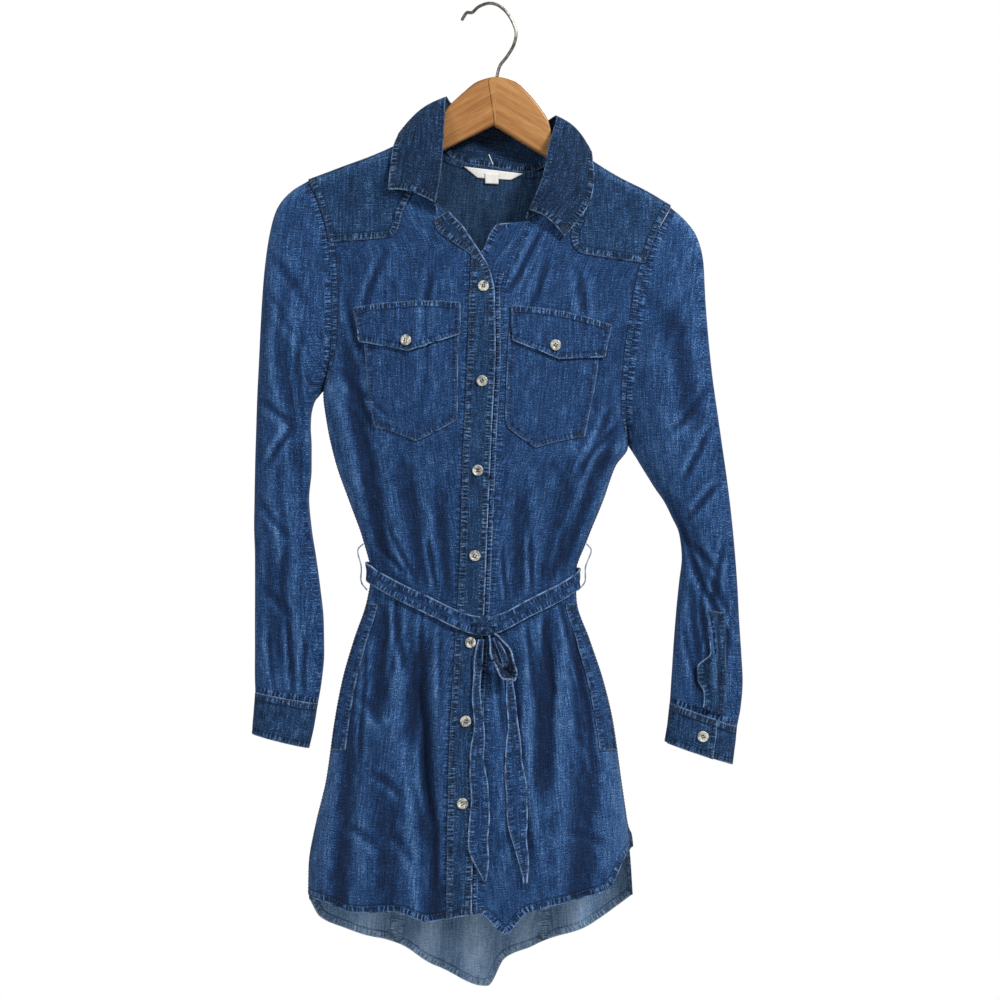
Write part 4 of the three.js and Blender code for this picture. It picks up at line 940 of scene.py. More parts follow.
def washed_denim(name, stops, worn_colour, roughness, seam_contrast):
    """Light cotton denim, indigo warp over white weft, garment-washed.

    The eye sees a mid blue with pale vertical streaks where warp threads have faded, ridges
    painted paler and troughs painted darker as light and shade (partly the dye that troughs
    really keep), and rope-like light and dark bars where a seam has shrunk in washing.
    Its threads, really 0.4 mm apart, are drawn as a grain 1 to 2 mm across, so that they show.
    """
    material, tree = new_material(name)
    weave = add_node(tree, "ShaderNodeAttribute", {"attribute_name": "weave"}).outputs["Vector"]
    seam = add_node(tree, "ShaderNodeAttribute", {"attribute_name": "seam"}).outputs["Vector"]
    wear_and_shade = add_node(tree, "ShaderNodeAttribute", {"attribute_name": "wear_and_shade"}).outputs["Vector"]
    split = add_node(tree, "ShaderNodeSeparateXYZ", None, Vector=seam)
    distance, along, rope = split.outputs
    split = add_node(tree, "ShaderNodeSeparateXYZ", None, Vector=wear_and_shade)
    crest, worn, fell = split.outputs

    def noise(scale, detail=3.0, shift=0.0, source=weave, rough=0.55):
        mapped = add_node(tree, "ShaderNodeMapping", None, Vector=source,
                          Location=(shift, shift * 2, 0), Scale=scale)
        made = add_node(tree, "ShaderNodeTexNoise", None, Vector=mapped.outputs[0], Scale=1.0,
                        Detail=detail, Roughness=rough)
        return made.outputs[0]

    clouds = noise((0.022, 0.014, 1), 3.0, 3.0)
    streaks = noise((0.55, 0.05, 1), 2.0, 7.0)
    slubs = noise((0.16, 0.012, 1), 2.0, 11.0)
    speckle = noise((1.15, 0.8, 1), 2.0, 19.0, rough=0.7)
    weft = noise((0.1, 0.8, 1), 2.0, 47.0)
    crumple = noise((0.07, 0.05, 1), 4.0, 23.0, rough=0.6)
    beside = add_node(tree, "ShaderNodeCombineXYZ", None, X=along, Y=distance)
    bars = noise((0.46, 0.06, 1), 1.0, 31.0, beside.outputs[0], 0.5)
    bars = ranged(tree, bars, 0.38, 0.62)
    near_seam = ranged(tree, distance, 5.0, 8.5, 1.0, 0.0)
    reach = maths(tree, "MULTIPLY", near_seam, rope)
    barred = maths(tree, "MULTIPLY", maths(tree, "SUBTRACT", bars, 0.42), reach)
    # crest paints the ridges paler and the troughs darker: painted light and shade, partly the dye that
    # troughs keep.
    tone = weighted(tree, 0.5, [
        (maths(tree, "SUBTRACT", clouds, 0.5), 0.22),
        (maths(tree, "SUBTRACT", streaks, 0.5), 0.6),
        (maths(tree, "SUBTRACT", slubs, 0.5), 0.22),
        (maths(tree, "SUBTRACT", speckle, 0.5), 1.7),
        (maths(tree, "SUBTRACT", weft, 0.5), 0.5),
        (crest, 0.16),
        (barred, seam_contrast),
    ])
    fell_edge = maths(tree, "SUBTRACT", distance, fell)
    # A thin line along the edge of each felled band is painted darker, as the shade in its groove.
    painted_groove_shade = ranged(tree, maths(tree, "ABSOLUTE", fell_edge), 0.0, 1.5, 1.0, 0.0)
    painted_groove_shade = maths(tree, "MULTIPLY", painted_groove_shade, maths(tree, "GREATER_THAN", fell, 0.5))
    tone = weighted(tree, tone, [(painted_groove_shade, -0.16)])
    base = ramp(tree, tone, stops)
    bare = maths(tree, "MULTIPLY", ranged(tree, distance, 0.2, 1.7, 1.0, 0.0), worn)
    patchy = noise((0.09, 0.3, 1), 3.0, 41.0, beside.outputs[0])
    bare = maths(tree, "MULTIPLY", bare, ranged(tree, patchy, 0.34, 0.62))
    colour = add_node(tree, "ShaderNodeMix", {"data_type": "RGBA"}, _0=bare, _6=base,
                      _7=to_linear(worn_colour)).outputs[2]
    raised = maths(tree, "LESS_THAN", fell_edge, 0.0)
    plateau = maths(tree, "MULTIPLY", ranged(tree, fell_edge, -1.2, 0.2, 1.0, 0.0), raised)
    height = weighted(tree, 0.0, [
        (streaks, 0.10), (speckle, 0.22), (crumple, 1.1), (weft, 0.06),
        (barred, 1.3), (plateau, 0.7),
    ])
    finish_surface(tree, height, 0.001, Base_Color=colour, Roughness=roughness,
                   Specular_IOR_Level=0.16, Sheen_Weight=0.05, Sheen_Roughness=0.5)
    return material


def build_materials():
    """Every finish on the dress and its hanger, by a maker's name."""
    colours = bpy.context.scene.shirt_dress_colours
    face = [(0.0, "#040d1f"), (0.3, "#081d3c"), (0.5, "#133158"), (0.72, "#2b5182"), (1.0, "#7094be")]
    # trim and collar are the face denim painted darker, as shade: trim for the yokes, plackets, cuffs
    # and knot, collar darker still for the collar and the inside of the belt loop.
    trim = [(0.0, "#030a17"), (0.3, "#071931"), (0.5, "#0f2c4c"), (0.72, "#284d78"), (1.0, "#7694b8")]
    collar = [(0.0, "#02070f"), (0.3, "#041226"), (0.5, "#0a203c"), (0.72, "#1e4065"), (1.0, "#708db0")]
    reverse = [(0.0, "#21344e"), (0.3, "#425b79"), (0.5, "#617d9b"), (0.72, "#7e98b5"), (1.0, "#adbed2")]
    inner = [(0.0, "#060f1e"), (0.3, "#10223b"), (0.5, "#1e3755"), (0.72, "#335171"), (1.0, "#65809f")]
    made = {
        "denim": washed_denim("washed_denim_face", face, colours.worn_edge, 0.85, 0.46),
        "trim": washed_denim("washed_denim_face_shaded", trim, colours.worn_edge, 0.85, 0.4),
        "collar": washed_denim("washed_denim_collar", collar, colours.worn_edge, 0.85, 0.4),
        "reverse": washed_denim("washed_denim_reverse", reverse, "#a9b8cb", 0.9, 0.3),
        "inner": washed_denim("washed_denim_reverse_shaded", inner, "#8093ad", 0.9, 0.3),
    }

    # Spun polyester-cotton sewing thread: matt, dark blue, a fine twist
    material, tree = new_material("sewing_thread")
    place = add_node(tree, "ShaderNodeTexCoord").outputs["Object"]
    grain = add_node(tree, "ShaderNodeTexNoise", None, Vector=place, Scale=900.0, Detail=2.0)
    tint = ramp(tree, grain.outputs[0], [(0.3, colours.thread), (0.75, "#5a6f8c")])
    finish_surface(tree, grain.outputs[0], 0.0002, Base_Color=tint, Roughness=0.75,
                   Sheen_Weight=0.1, Specular_IOR_Level=0.3)
    made["thread"] = material

    # Thread chains worked over with pale topstitch thread: matt grey-blue, fuzzy
    material, tree = new_material("chain_thread")
    place = add_node(tree, "ShaderNodeTexCoord").outputs["Object"]
    grain = add_node(tree, "ShaderNodeTexNoise", None, Vector=place, Scale=700.0, Detail=2.0)
    tint = ramp(tree, grain.outputs[0], [(0.3, "#5d6c86"), (0.7, "#b6bfcc")])
    finish_surface(tree, grain.outputs[0], 0.0002, Base_Color=tint, Roughness=0.8,
                   Sheen_Weight=0.1, Specular_IOR_Level=0.3)
    made["chain"] = material

    # Polyester resin buttons cast like river shell: cream clouds in grey, polished, slightly clear
    material, tree = new_material("pearl_resin")
    place = add_node(tree, "ShaderNodeTexCoord").outputs["Object"]
    clouds = add_node(tree, "ShaderNodeTexNoise", None, Vector=place, Scale=190.0, Detail=3.0,
                      Distortion=1.2)
    tint = ramp(tree, clouds.outputs[0], [(0.32, "#4e4f4c"), (0.46, "#8f8e84"), (0.6, "#c9c6b8"),
                                          (0.78, "#ece9dd")])
    finish_surface(tree, clouds.outputs[0], 0.0001, Base_Color=tint, Roughness=0.22, IOR=1.55,
                   Coat_Weight=0.3, Coat_Roughness=0.1)
    made["button"] = material

    # The button's sewing holes, filled with dark thread
    material, tree = new_material("button_thread")
    place = add_node(tree, "ShaderNodeTexCoord").outputs["Object"]
    grain = add_node(tree, "ShaderNodeTexNoise", None, Vector=place, Scale=1500.0, Detail=1.0)
    tint = ramp(tree, grain.outputs[0], [(0.3, "#0d1626"), (0.7, "#2a3b55")])
    finish_surface(tree, grain.outputs[0], 0.0002, Base_Color=tint, Roughness=0.8)
    made["button_thread"] = material

    # Beech, sawn and lacquered: honey brown, long grain with short dark flecks, satin gloss
    material, tree = new_material("lacquered_beech")
    grain_at = add_node(tree, "ShaderNodeAttribute", {"attribute_name": "grain"}).outputs["Vector"]

    def wood_noise(scale, detail, shift):
        mapped = add_node(tree, "ShaderNodeMapping", None, Vector=grain_at,
                          Location=(shift, shift, shift), Scale=scale)
        made_noise = add_node(tree, "ShaderNodeTexNoise", None, Vector=mapped.outputs[0], Scale=1.0,
                              Detail=detail, Roughness=0.6)
        return made_noise.outputs[0]

    bands = wood_noise((0.012, 0.16, 0.16), 4.0, 2.0)
    pores = wood_noise((0.12, 1.3, 1.3), 2.0, 9.0)
    tint_value = weighted(tree, 0.5, [
        (maths(tree, "SUBTRACT", bands, 0.5), 1.1),
        (maths(tree, "SUBTRACT", pores, 0.5), 0.35),
    ])
    joint = add_node(tree, "ShaderNodeAttribute", {"attribute_name": "joint"}).outputs["Vector"]
    joint = add_node(tree, "ShaderNodeSeparateXYZ", None, Vector=joint).outputs[0]
    glue = ranged(tree, maths(tree, "ABSOLUTE", joint), 0.25, 0.9, 1.0, 0.0)
    half = ranged(tree, joint, -0.2, 0.2, 0.0, 0.09)
    tint_value = weighted(tree, tint_value, [(glue, -0.42), (half, 1.0)])
    tint = ramp(tree, tint_value, [(0.0, "#59330f"), (0.3, "#8a5826"), (0.5, colours.wood),
                                   (0.75, "#b5824a"), (1.0, "#c99c63")])
    height = weighted(tree, 0.0, [(pores, 0.25), (bands, 0.1)])
    finish_surface(tree, height, 0.0004, Base_Color=tint, Roughness=0.38, IOR=1.5,
                   Coat_Weight=0.35, Coat_Roughness=0.22)
    made["wood"] = material

    # Steel wire, zinc plated and drawn: bright grey with faint lengthwise rubbing
    material, tree = new_material("plated_steel_wire")
    place = add_node(tree, "ShaderNodeTexCoord").outputs["Object"]
    rubbed = add_node(tree, "ShaderNodeTexNoise", None, Vector=place, Scale=320.0, Detail=3.0)
    tint = ramp(tree, rubbed.outputs[0], [(0.3, "#6f6a63"), (0.7, "#a8a199")])
    rough = ranged(tree, rubbed.outputs[0], 0.3, 0.7, 0.22, 0.38)
    finish_surface(tree, rubbed.outputs[0], 0.0001, Base_Color=tint, Roughness=rough, Metallic=1.0)
    made["steel"] = material

    # Woven satin ribbon for labels: white, smooth, with a faint cross rib
    material, tree = new_material("satin_ribbon")
    place = add_node(tree, "ShaderNodeTexCoord").outputs["Object"]
    rib = add_node(tree, "ShaderNodeTexWave", {"bands_direction": "Z"}, Vector=place, Scale=260.0,
                   Distortion=0.3)
    tint = ramp(tree, rib.outputs[1], [(0.0, "#d9d6d0"), (1.0, "#f1efea")])
    finish_surface(tree, rib.outputs[1], 0.0001, Base_Color=tint, Roughness=0.45, Sheen_Weight=0.2)
    made["label"] = material

    # Painted studio floor: pale, matt, even
    material, tree = new_material("pale_floor")
    place = add_node(tree, "ShaderNodeTexCoord").outputs["Object"]
    soft = add_node(tree, "ShaderNodeTexNoise", None, Vector=place, Scale=3.0, Detail=2.0)
    tint = ramp(tree, soft.outputs[0], [(0.3, "#efefed"), (0.7, "#f4f4f2")])
    finish_surface(tree, soft.outputs[0], 0.0001, Base_Color=tint, Roughness=0.8)
    made["floor"] = material
    return made


MATERIALS = {}


def cloth_pair(kind="denim", inside="reverse"):
    return [MATERIALS[kind], MATERIALS[inside]]


def body_core(grid):
    core = np.zeros_like(grid)
    core[..., 0] = (edge_x("right", grid[..., 2]) + edge_x("left", grid[..., 2])) / 2
    core[..., 2] = grid[..., 2]
    return core


# Body panels


def inner_edge(side, z):
    """The edge of a front beside the neck and the placket."""
    if side == "right":
        return read(FRONT_RIGHT_INNER, "z", "x", z)
    below = read(PLACKET_EDGE, "z", "x", z) + UNDER_PLACKET_REVEAL
    return np.where(np.asarray(z) > -300, read(FRONT_LEFT_TOP, "z", "x", z), below)


def front_upper(side, level, column):
    """Places on a front above the chest, by share of the way down and across."""
    neck_x, neck_z = NECK_POINT[side]
    inner_z = mix(neck_z, PANEL_JOIN, level)
    outer_z = mix(SHOULDER_END[side], PANEL_JOIN, level)
    x = mix(inner_edge(side, inner_z), edge_x(side, outer_z), column)
    top_x = mix(neck_x, float(edge_x(side, SHOULDER_END[side])), column)
    seam = shoulder_z(top_x) - mix(neck_z, SHOULDER_END[side], column)
    return x, mix(inner_z, outer_z, column) + seam * (1 - level)


def front_lower(side, z, column):
    x = mix(inner_edge(side, z), edge_x(side, z), column)
    return x, towards_hem(-1, x, z)


def level_rows():
    """Rows down a panel: shares above the chest, then heights down to the hem."""
    upper = spaced(150)[:-12]
    upper = np.append(upper, np.linspace(upper[-1], 1, 14)[1:])
    near_hem = HEM_LEVEL + np.array([0, 1.3, 2.8, 4.6, 6.8, 9.4])
    lower = np.linspace(PANEL_JOIN, near_hem[-1], 190)[1:]
    return upper, np.append(lower, near_hem[-2::-1])


def front_grid(side):
    upper, lower = level_rows()
    columns = spaced(150)[None]
    x1, z1 = front_upper(side, upper[:, None], columns)
    x2, z2 = front_lower(side, lower[:, None], columns)
    x, z = np.concatenate([x1, x2]), np.concatenate([z1, z2])
    return parted(on_body(-1, x, z), -1)


def back_top(x):
    inside = (x > NECK_POINT["right"][0]) & (x < NECK_POINT["left"][0])
    return np.where(inside, read(BACK_NECK, "x", "z", x) + NECK_SEAM_RAISE, shoulder_z(x))


def back_seam(side, z):
    return read(BACK_SEAMS[side], "z", "x", z)


def back_centre_grid():
    upper, lower = level_rows()
    columns = spaced(230, 2.9)[None]
    top_x = mix(back_seam("right", -170), back_seam("left", -170), columns)
    join_x = mix(back_seam("right", PANEL_JOIN), back_seam("left", PANEL_JOIN), columns)
    x1 = mix(top_x, join_x, upper[:, None])
    z1 = mix(back_top(top_x), PANEL_JOIN, upper[:, None])
    z2 = np.broadcast_to(lower[:, None], (len(lower), columns.shape[1]))
    x2 = mix(back_seam("right", z2), back_seam("left", z2), columns)
    x = np.concatenate([x1, x2])
    z = np.concatenate([z1, towards_hem(1, x2, z2)])
    return parted(on_body(1, x, z), 1)


def back_side_grid(side):
    upper, lower = level_rows()
    upper = upper[:, None]
    columns = spaced(90)[None]
    end = SHOULDER_END[side]
    top_x = float(back_seam(side, -170))
    inner_x = mix(top_x, float(back_seam(side, PANEL_JOIN)), upper)
    outer_z = mix(end, PANEL_JOIN, upper)
    x1 = mix(inner_x, edge_x(side, outer_z), columns)
    top_z = float(shoulder_z(top_x))
    ridge_x = mix(top_x, float(edge_x(side, end)), columns)
    bow = shoulder_z(ridge_x) - mix(top_z, end, columns)
    z1 = mix(mix(top_z, PANEL_JOIN, upper), outer_z, columns) + bow * (1 - upper)
    z2 = np.broadcast_to(lower[:, None], (len(lower), columns.shape[1]))
    x2 = mix(back_seam(side, z2), edge_x(side, z2), columns)
    x = np.concatenate([x1, x2])
    z = np.concatenate([z1, towards_hem(1, x2, z2)])
    return parted(on_body(1, x, z), 1)


def painted_fold_shade(folds, grid):
    """The troughs of the long folds are painted darker, as shade, with a little of the dye that troughs
    really keep.
    """
    return 0.11 * fold_depth(folds, grid[..., 0], grid[..., 2])


def make_body():
    for side in ("right", "left"):
        name = f"front_{side}_panel"
        grid = front_grid(side)
        edges = [("top", 0.5, 0.0, 7), ("bottom", 1.0, 0.9, 8), ("end", 0.8, 0.0, 7),
                 ("start", 0.5, 0.0, 0)]
        piece = shell(name, grid, CLOTH, body_core(grid), cloth_pair("denim", "inner"), edges,
                      shade=painted_fold_shade(FOLDS[-1], grid))
        settle(piece, [f"front_{side}"])
        name = f"back_side_{side}_panel"
        grid = back_side_grid(side)
        edges = [("top", 0.5, 0.0, 7), ("bottom", 1.0, 0.9, 8), ("end", 0.8, 0.0, 7),
                 ("start", 0.9, 0.0, 9)]
        piece = shell(name, grid, CLOTH, body_core(grid), cloth_pair("denim", "reverse"), edges,
                      shade=painted_fold_shade(FOLDS[1], grid))
        settle(piece, [f"back_side_{side}"])
    grid = back_centre_grid()
    edges = [("top", 0.6, 0.0, 7), ("bottom", 1.0, 0.9, 8), ("start", 0.6, 0.0, 0),
             ("end", 0.6, 0.0, 0)]
    piece = shell("back_centre_panel", grid, CLOTH, body_core(grid), cloth_pair("denim", "reverse"),
                  edges, shade=painted_fold_shade(FOLDS[1], grid))
    piece.data.materials.append(MATERIALS["inner"])
    for face in piece.data.polygons:
        if face.material_index == 1 and face.center.z > INNER_SHADE_Z / 1000:
            face.material_index = 2
    settle(piece, ["back_centre"])


def make_yokes():
    for side in ("right", "left"):
        columns = spaced(130)[None]
        rough_x = front_upper(side, 0.5, columns)[0]
        line = read(YOKE_LINES[side], "x", "z", rough_x)
        low, high = np.zeros_like(line), np.ones_like(line)
        for _ in range(30):
            middle = (low + high) / 2
            above = front_upper(side, middle, columns)[1] > line
            low, high = np.where(above, middle, low), np.where(above, high, middle)
        rows = spaced(80)[:, None]
        x, z = front_upper(side, rows * low, columns * 0.993)
        grid = on_body(-1, x, z, OVERLAY_GAP + CLOTH)
        edges = [("top", 0.7, 0.2, 7), ("bottom", 1.0, 0.4, 8), ("end", 0.9, 0.1, 7),
                 ("start", 0.5, 0.0, 0)]
        piece = shell(f"yoke_{side}_piece", grid, CLOTH, body_core(grid), cloth_pair("trim"), edges,
                      straight=(grid[..., 0], -grid[..., 2]))
        settle(piece, [f"yoke_{side}"])


def band(x1, z1, x2, z2, out, columns):
    """Rows of a narrow band on the front, between two edges."""
    x = mix(x1[:, None], x2[:, None], columns[None])
    z = mix(z1[:, None], z2[:, None], columns[None])
    z = np.where(z < HEM_START, towards_hem(-1, x, z), z)
    return on_body(-1, x, z, out)


def make_plackets():
    overlap = 1.5
    columns = spaced(PLACKET_WIDTH, 2.2, 1.1)
    lower = level_rows()[1]
    lower = lower[lower < -301]
    edge = read(PLACKET_EDGE, "z", "x", lower)
    seam = inner_edge("right", lower)
    top = by_index(PLACKET_RIGHT_TOP, 40)
    out = OVERLAY_GAP + CLOTH
    right = np.concatenate([
        band(top["x1"], top["z1"], top["x2"], top["z2"], out, columns),
        band(seam - overlap, lower, edge, lower, out, columns),
    ])
    curl = np.linspace(0, 1, len(columns)) ** 3
    puff = np.exp(-((np.arange(len(right)) / 34.0) ** 2))
    right[..., 1] -= 3.2 * puff[:, None] * curl[None]
    edges = [("top", 0.9, 0.4, 0), ("bottom", 1.0, 0.9, 8), ("start", 1.0, 0.25, 0),
             ("end", 1.0, 1.0, 0)]
    piece = shell("placket_right_band", right, CLOTH, body_core(right), cloth_pair("trim"), edges)
    settle(piece, ["placket_right"])
    top = by_index(PLACKET_LEFT_TOP, 24)
    left = np.concatenate([
        band(top["x1"], top["z1"], inner_edge("left", top["z2"]), top["z2"], 0, columns),
        band(seam, lower, edge + UNDER_PLACKET_REVEAL, lower, 0, columns),
    ])
    edges = [("top", 0.9, 0.8, 0), ("bottom", 1.0, 0.9, 8), ("start", 0.9, 0.7, 0),
             ("end", 1.0, 0.5, 5)]
    piece = shell("placket_left_band", left, CLOTH, body_core(left), cloth_pair("denim"), edges)
    plain_above(piece, "end", left)
    settle(piece, ["placket_left"])


def plain_above(piece, edge, grid):
    """No seam shows along an edge above the first button, where the fronts lie open."""
    mesh = piece.data
    count = len(mesh.vertices)
    points = np.empty(count * 3)
    mesh.vertices.foreach_get("co", points)
    points = points.reshape(-1, 3) * 1000
    nearest = from_edges(points, [(edge_line(grid, e), n, 0, 0)
                                  for n, e in enumerate(("start", edge))])[2][:, 0]
    hidden = (points[:, 2] > -286) & (nearest > 0.5)
    for name in ("seam", "wear_and_shade"):
        values = np.empty(count * 3, np.float32)
        attribute = mesh.attributes[name]
        attribute.data.foreach_get("vector", values)
        values = values.reshape(-1, 3)
        values[hidden, 1 if name == "wear_and_shade" else 2] = 0
        if name == "wear_and_shade":
            values[hidden, 2] = 0
        attribute.data.foreach_set("vector", values.ravel())


def make_pockets():
    for side in ("right", "left"):
        pocket = POCKETS[side]
        tip_x, tip_z = pocket["point"]
        first, last = pocket["corners"]
        rows, columns = spaced(125)[:, None], spaced(96)[None]
        level = mix(pocket["top"], first, rows)
        x1 = read(pocket["inner"], "z", "x", level)
        x2 = read(pocket["outer"], "z", "x", level)
        x = mix(x1, x2, columns)
        beyond = np.where((x - tip_x) * (x1 - tip_x) > 0, x1, x2)
        away = np.abs(x - tip_x) / np.abs(beyond - tip_x)
        bottom = mix(tip_z, mix(first, last, columns), away)
        grid = on_body(-1, x, mix(pocket["top"], bottom, rows), OVERLAY_GAP + CLOTH)
        edges = [("top", 0.5, 0.3, 0), ("bottom", 0.5, 0.5, 5), ("start", 0.35, 0.5, 5),
                 ("end", 0.35, 0.5, 5)]
        piece = shell(f"pocket_{side}_patch", grid, CLOTH, body_core(grid), cloth_pair(), edges)
        settle(piece, [f"pocket_{side}"])
        flap = FLAPS[side]
        tip_x, tip_z = flap["point"]
        rows, columns = spaced(40, 2.6)[:, None], spaced(104)[None]
        x = mix(flap["x"][0], flap["x"][1], columns)
        top = mix(flap["top"][0], flap["top"][1], columns) + FLAP_RISE * np.sin(columns * np.pi)
        near_first = np.abs(x - flap["x"][0]) < abs(tip_x - flap["x"][0])
        corner_x = np.where(near_first, flap["x"][0], flap["x"][1])
        corner_z = np.where(near_first, flap["bottom"][0], flap["bottom"][1])
        bottom = mix(tip_z, corner_z, np.abs(x - tip_x) / np.abs(corner_x - tip_x))
        near = np.exp(-columns * 22) * flap["lean"][0] + np.exp(columns * 22 - 22) * flap["lean"][1]
        x, z = x + near * rows, mix(top, bottom, rows)
        pucker = 0.7 * np.sin(columns * 95 + 2 * np.sin(columns * 31)) * np.exp(-rows * 3)
        lift = 2 * (OVERLAY_GAP + CLOTH) + 1.3 * rows**2 + (pucker + 0.5 * rumple(x, z, 10, 6) + 0.6) * (
            np.sin(np.minimum(rows * 4, 1) * np.pi / 2) * np.sin(columns * np.pi) ** 0.5)
        grid = on_body(-1, x, z, lift)
        edges = [("top", 1.0, 0.3, 7), ("bottom", 0.6, 1.0, 6), ("start", 0.35, 0.7, 5),
                 ("end", 0.35, 0.7, 5)]
        piece = shell(f"flap_{side}_piece", grid, CLOTH, body_core(grid), cloth_pair(), edges)
        settle(piece, [f"flap_{side}"])
        rows, columns = spaced(150)[:, None], mix(0.86, 0.98, spaced(20, 2.5))[None]
        z = mix(-628, -780, rows)
        x, z = front_lower(side, z, columns)
        grid = on_body(-1, x, z, OVERLAY_GAP + CLOTH)
        edges = [("top", 0.7, 0.3, 0), ("bottom", 0.8, 0.5, 0), ("start", 0.7, 0.5, 0),
                 ("end", 0.5, 0.1, 0)]
        piece = shell(f"welt_{side}_strip", grid, CLOTH, body_core(grid), cloth_pair(), edges)
        settle(piece, [f"welt_{side}"])


# Sleeves and cuffs


def ring_points(rows, angle, side):
    """Points round a sleeve: rows of the table by angles, the front half first."""
    row = {name: column[:, None] for name, column in rows.items()}
    angle = np.asarray(angle)[None]
    half = (1 - np.cos(angle)) / 2
    x = mix(row["ox"], row["ix"], half)
    z = mix(row["oz"], row["iz"], half)
    swell = np.sign(np.sin(angle)) * np.abs(np.sin(angle)) ** 0.8
    front = np.maximum(swell, 0)
    fold = fold_depth(SLEEVE_FOLDS, x, z) * front
    fine = crease_depth(SLEEVE_CREASES, x, z) * swell
    fine = fine + (0.6 * rumple(x, z * 0.6, 15, 3) + 1.1 * rumple(x, z * 0.6, 38, 8)) * swell
    y = row["y"] - row["depth"] * swell + fold
    y = y + fine * (1 - row["share"]) * np.abs(swell)
    first = {name: column[0] for name, column in SLEEVES[side].items()}
    seam_z = mix(first["oz"], first["iz"], half)
    seam_x = edge_x(side, seam_z)
    bow = seam_x - mix(first["ox"], first["ix"], half)
    seam_y = np.where(swell > 0, body_y(-1, seam_x, seam_z), body_y(1, seam_x, seam_z))
    plain_y = first["y"] - first["depth"] * swell
    share = row["share"]
    x = x + bow * share
    y = y + (seam_y - plain_y - fold) * share
    return np.stack([x, y, z + 0 * x], -1)


def ring_core(rows, grid):
    centre = np.stack([(rows["ox"] + rows["ix"]) / 2, rows["y"], (rows["oz"] + rows["iz"]) / 2], -1)
    return np.broadcast_to(centre[:, None], grid.shape)


def make_sleeves():
    for side in ("right", "left"):
        angles = np.linspace(0, 2 * np.pi, 76, endpoint=False)
        rows = by_index(SLEEVES[side], 190)
        rows["depth"] = rows["depth"] - 1.4 * smooth(0.965, 1.0, np.linspace(0, 1, 190))
        grid = ring_points(rows, angles, side)
        # The fronts of the sleeves are painted darker in the troughs of their folds, as shade.
        painted_sleeve_shade = painted_fold_shade(SLEEVE_FOLDS, grid) * np.maximum(np.sin(angles), 0)[None]
        lay = grid[..., 0] + 0.8 * np.abs(grid[..., 1] - rows["y"][:, None]), -grid[..., 2]
        edges = [("top", 0.8, 0.0, 0), ("bottom", 1.0, 0.0, 0)]
        piece = shell(f"sleeve_{side}_tube", grid, CLOTH, ring_core(rows, grid),
                      cloth_pair("denim", "inner"), edges, closed=True, shade=painted_sleeve_shade, straight=lay)
        settle(piece, [f"sleeve_{side}"])
        rows = by_index(CUFFS[side], 26)
        rim = np.linspace(0, 1, 26)
        rows["depth"] = rows["depth"] + 0.8 * np.sin(rim * np.pi)
        grid = ring_points(rows, angles, side)
        grid[..., 1] += np.sin(rim * np.pi)[:, None] * 1.5 * rumple(grid[..., 0], grid[..., 2], 9, 21)
        edges = [("top", 1.0, 0.7, 8), ("bottom", 0.8, 1.0, 6)]
        piece = shell(f"cuff_{side}_band", grid, DOUBLE_CLOTH, ring_core(rows, grid),
                      cloth_pair("trim", "inner"), edges, closed=True)
        settle(piece, [f"cuff_{side}"])
        facing = -1 if side == "right" else 1
        rows["depth"] = rows["depth"] + OVERLAY_GAP + CLOTH + 0.8
        lap = facing * np.radians(mix(*CUFF_LAP, spaced(58, 2.6)))
        grid = ring_points(rows, lap, side)
        grid[..., 1] += np.sin(rim * np.pi)[:, None] * 1.5 * rumple(grid[..., 0], grid[..., 2], 9, 21)
        grid[..., 2] += 0.6 * np.cos(rim * np.pi)[:, None]
        edges = [("top", 1.0, 0.6, 8), ("bottom", 0.8, 1.0, 6), ("start", 0.7, 1.0, 5),
                 ("end", 0.3, 0.2, 0)]
        piece = shell(f"cuff_{side}_lap", grid, CLOTH, ring_core(rows, grid), cloth_pair("trim"),
                      edges)
        settle(piece)
        turn = facing * 2 * np.pi / TUBE_SIDES
        angles = np.linspace(PLACKET_SIDES[0] * turn, PLACKET_SIDES[1] * turn, 13)
        rows = by_index(SLEEVES[side], 190)
        low = 190 - int(190 * 4.6 / len(SLEEVES[side]["ox"]))
        rows = {name: column[low:-4] for name, column in rows.items()}
        rows["depth"] = rows["depth"] + OVERLAY_GAP + CLOTH
        grid = ring_points(rows, angles, side)
        free = np.linspace(0, 1, len(angles))[None]
        grid[..., 0] += SIGN[side] * read(SLIT_WAVE, "z", "shift", grid[..., 2]) * free**2
        grid[..., 1] -= facing * 2.0 * free**3
        edges = [("top", 0.6, 0.4, 0), ("bottom", 0.5, 0.0, 0), ("start", 0.5, 0.3, 0),
                 ("end", 0.8, 1.0, 0)]
        piece = shell(f"sleeve_{side}_placket_strip", grid, CLOTH, ring_core(rows, grid),
                      cloth_pair("trim"), edges)
        settle(piece, [f"sleeve_placket_{side}"])


# Collar


def collar_lines(count):
    base_points = []
    for face, out, x, z in zip(COLLAR["face"], COLLAR["out"], COLLAR["baseX"], COLLAR["baseZ"]):
        if face == 0:
            base_points.append((x, 0, z))
        else:
            base_points.append(on_body(int(face), x, z, out))
    base = catmull(base_points, count)
    roll = catmull(np.stack([COLLAR["rollX"], COLLAR["rollY"], COLLAR["rollZ"]], -1), count)
    edge = catmull(np.stack([COLLAR["leafX"], COLLAR["leafY"], COLLAR["leafZ"]], -1), count)
    return base, roll, edge


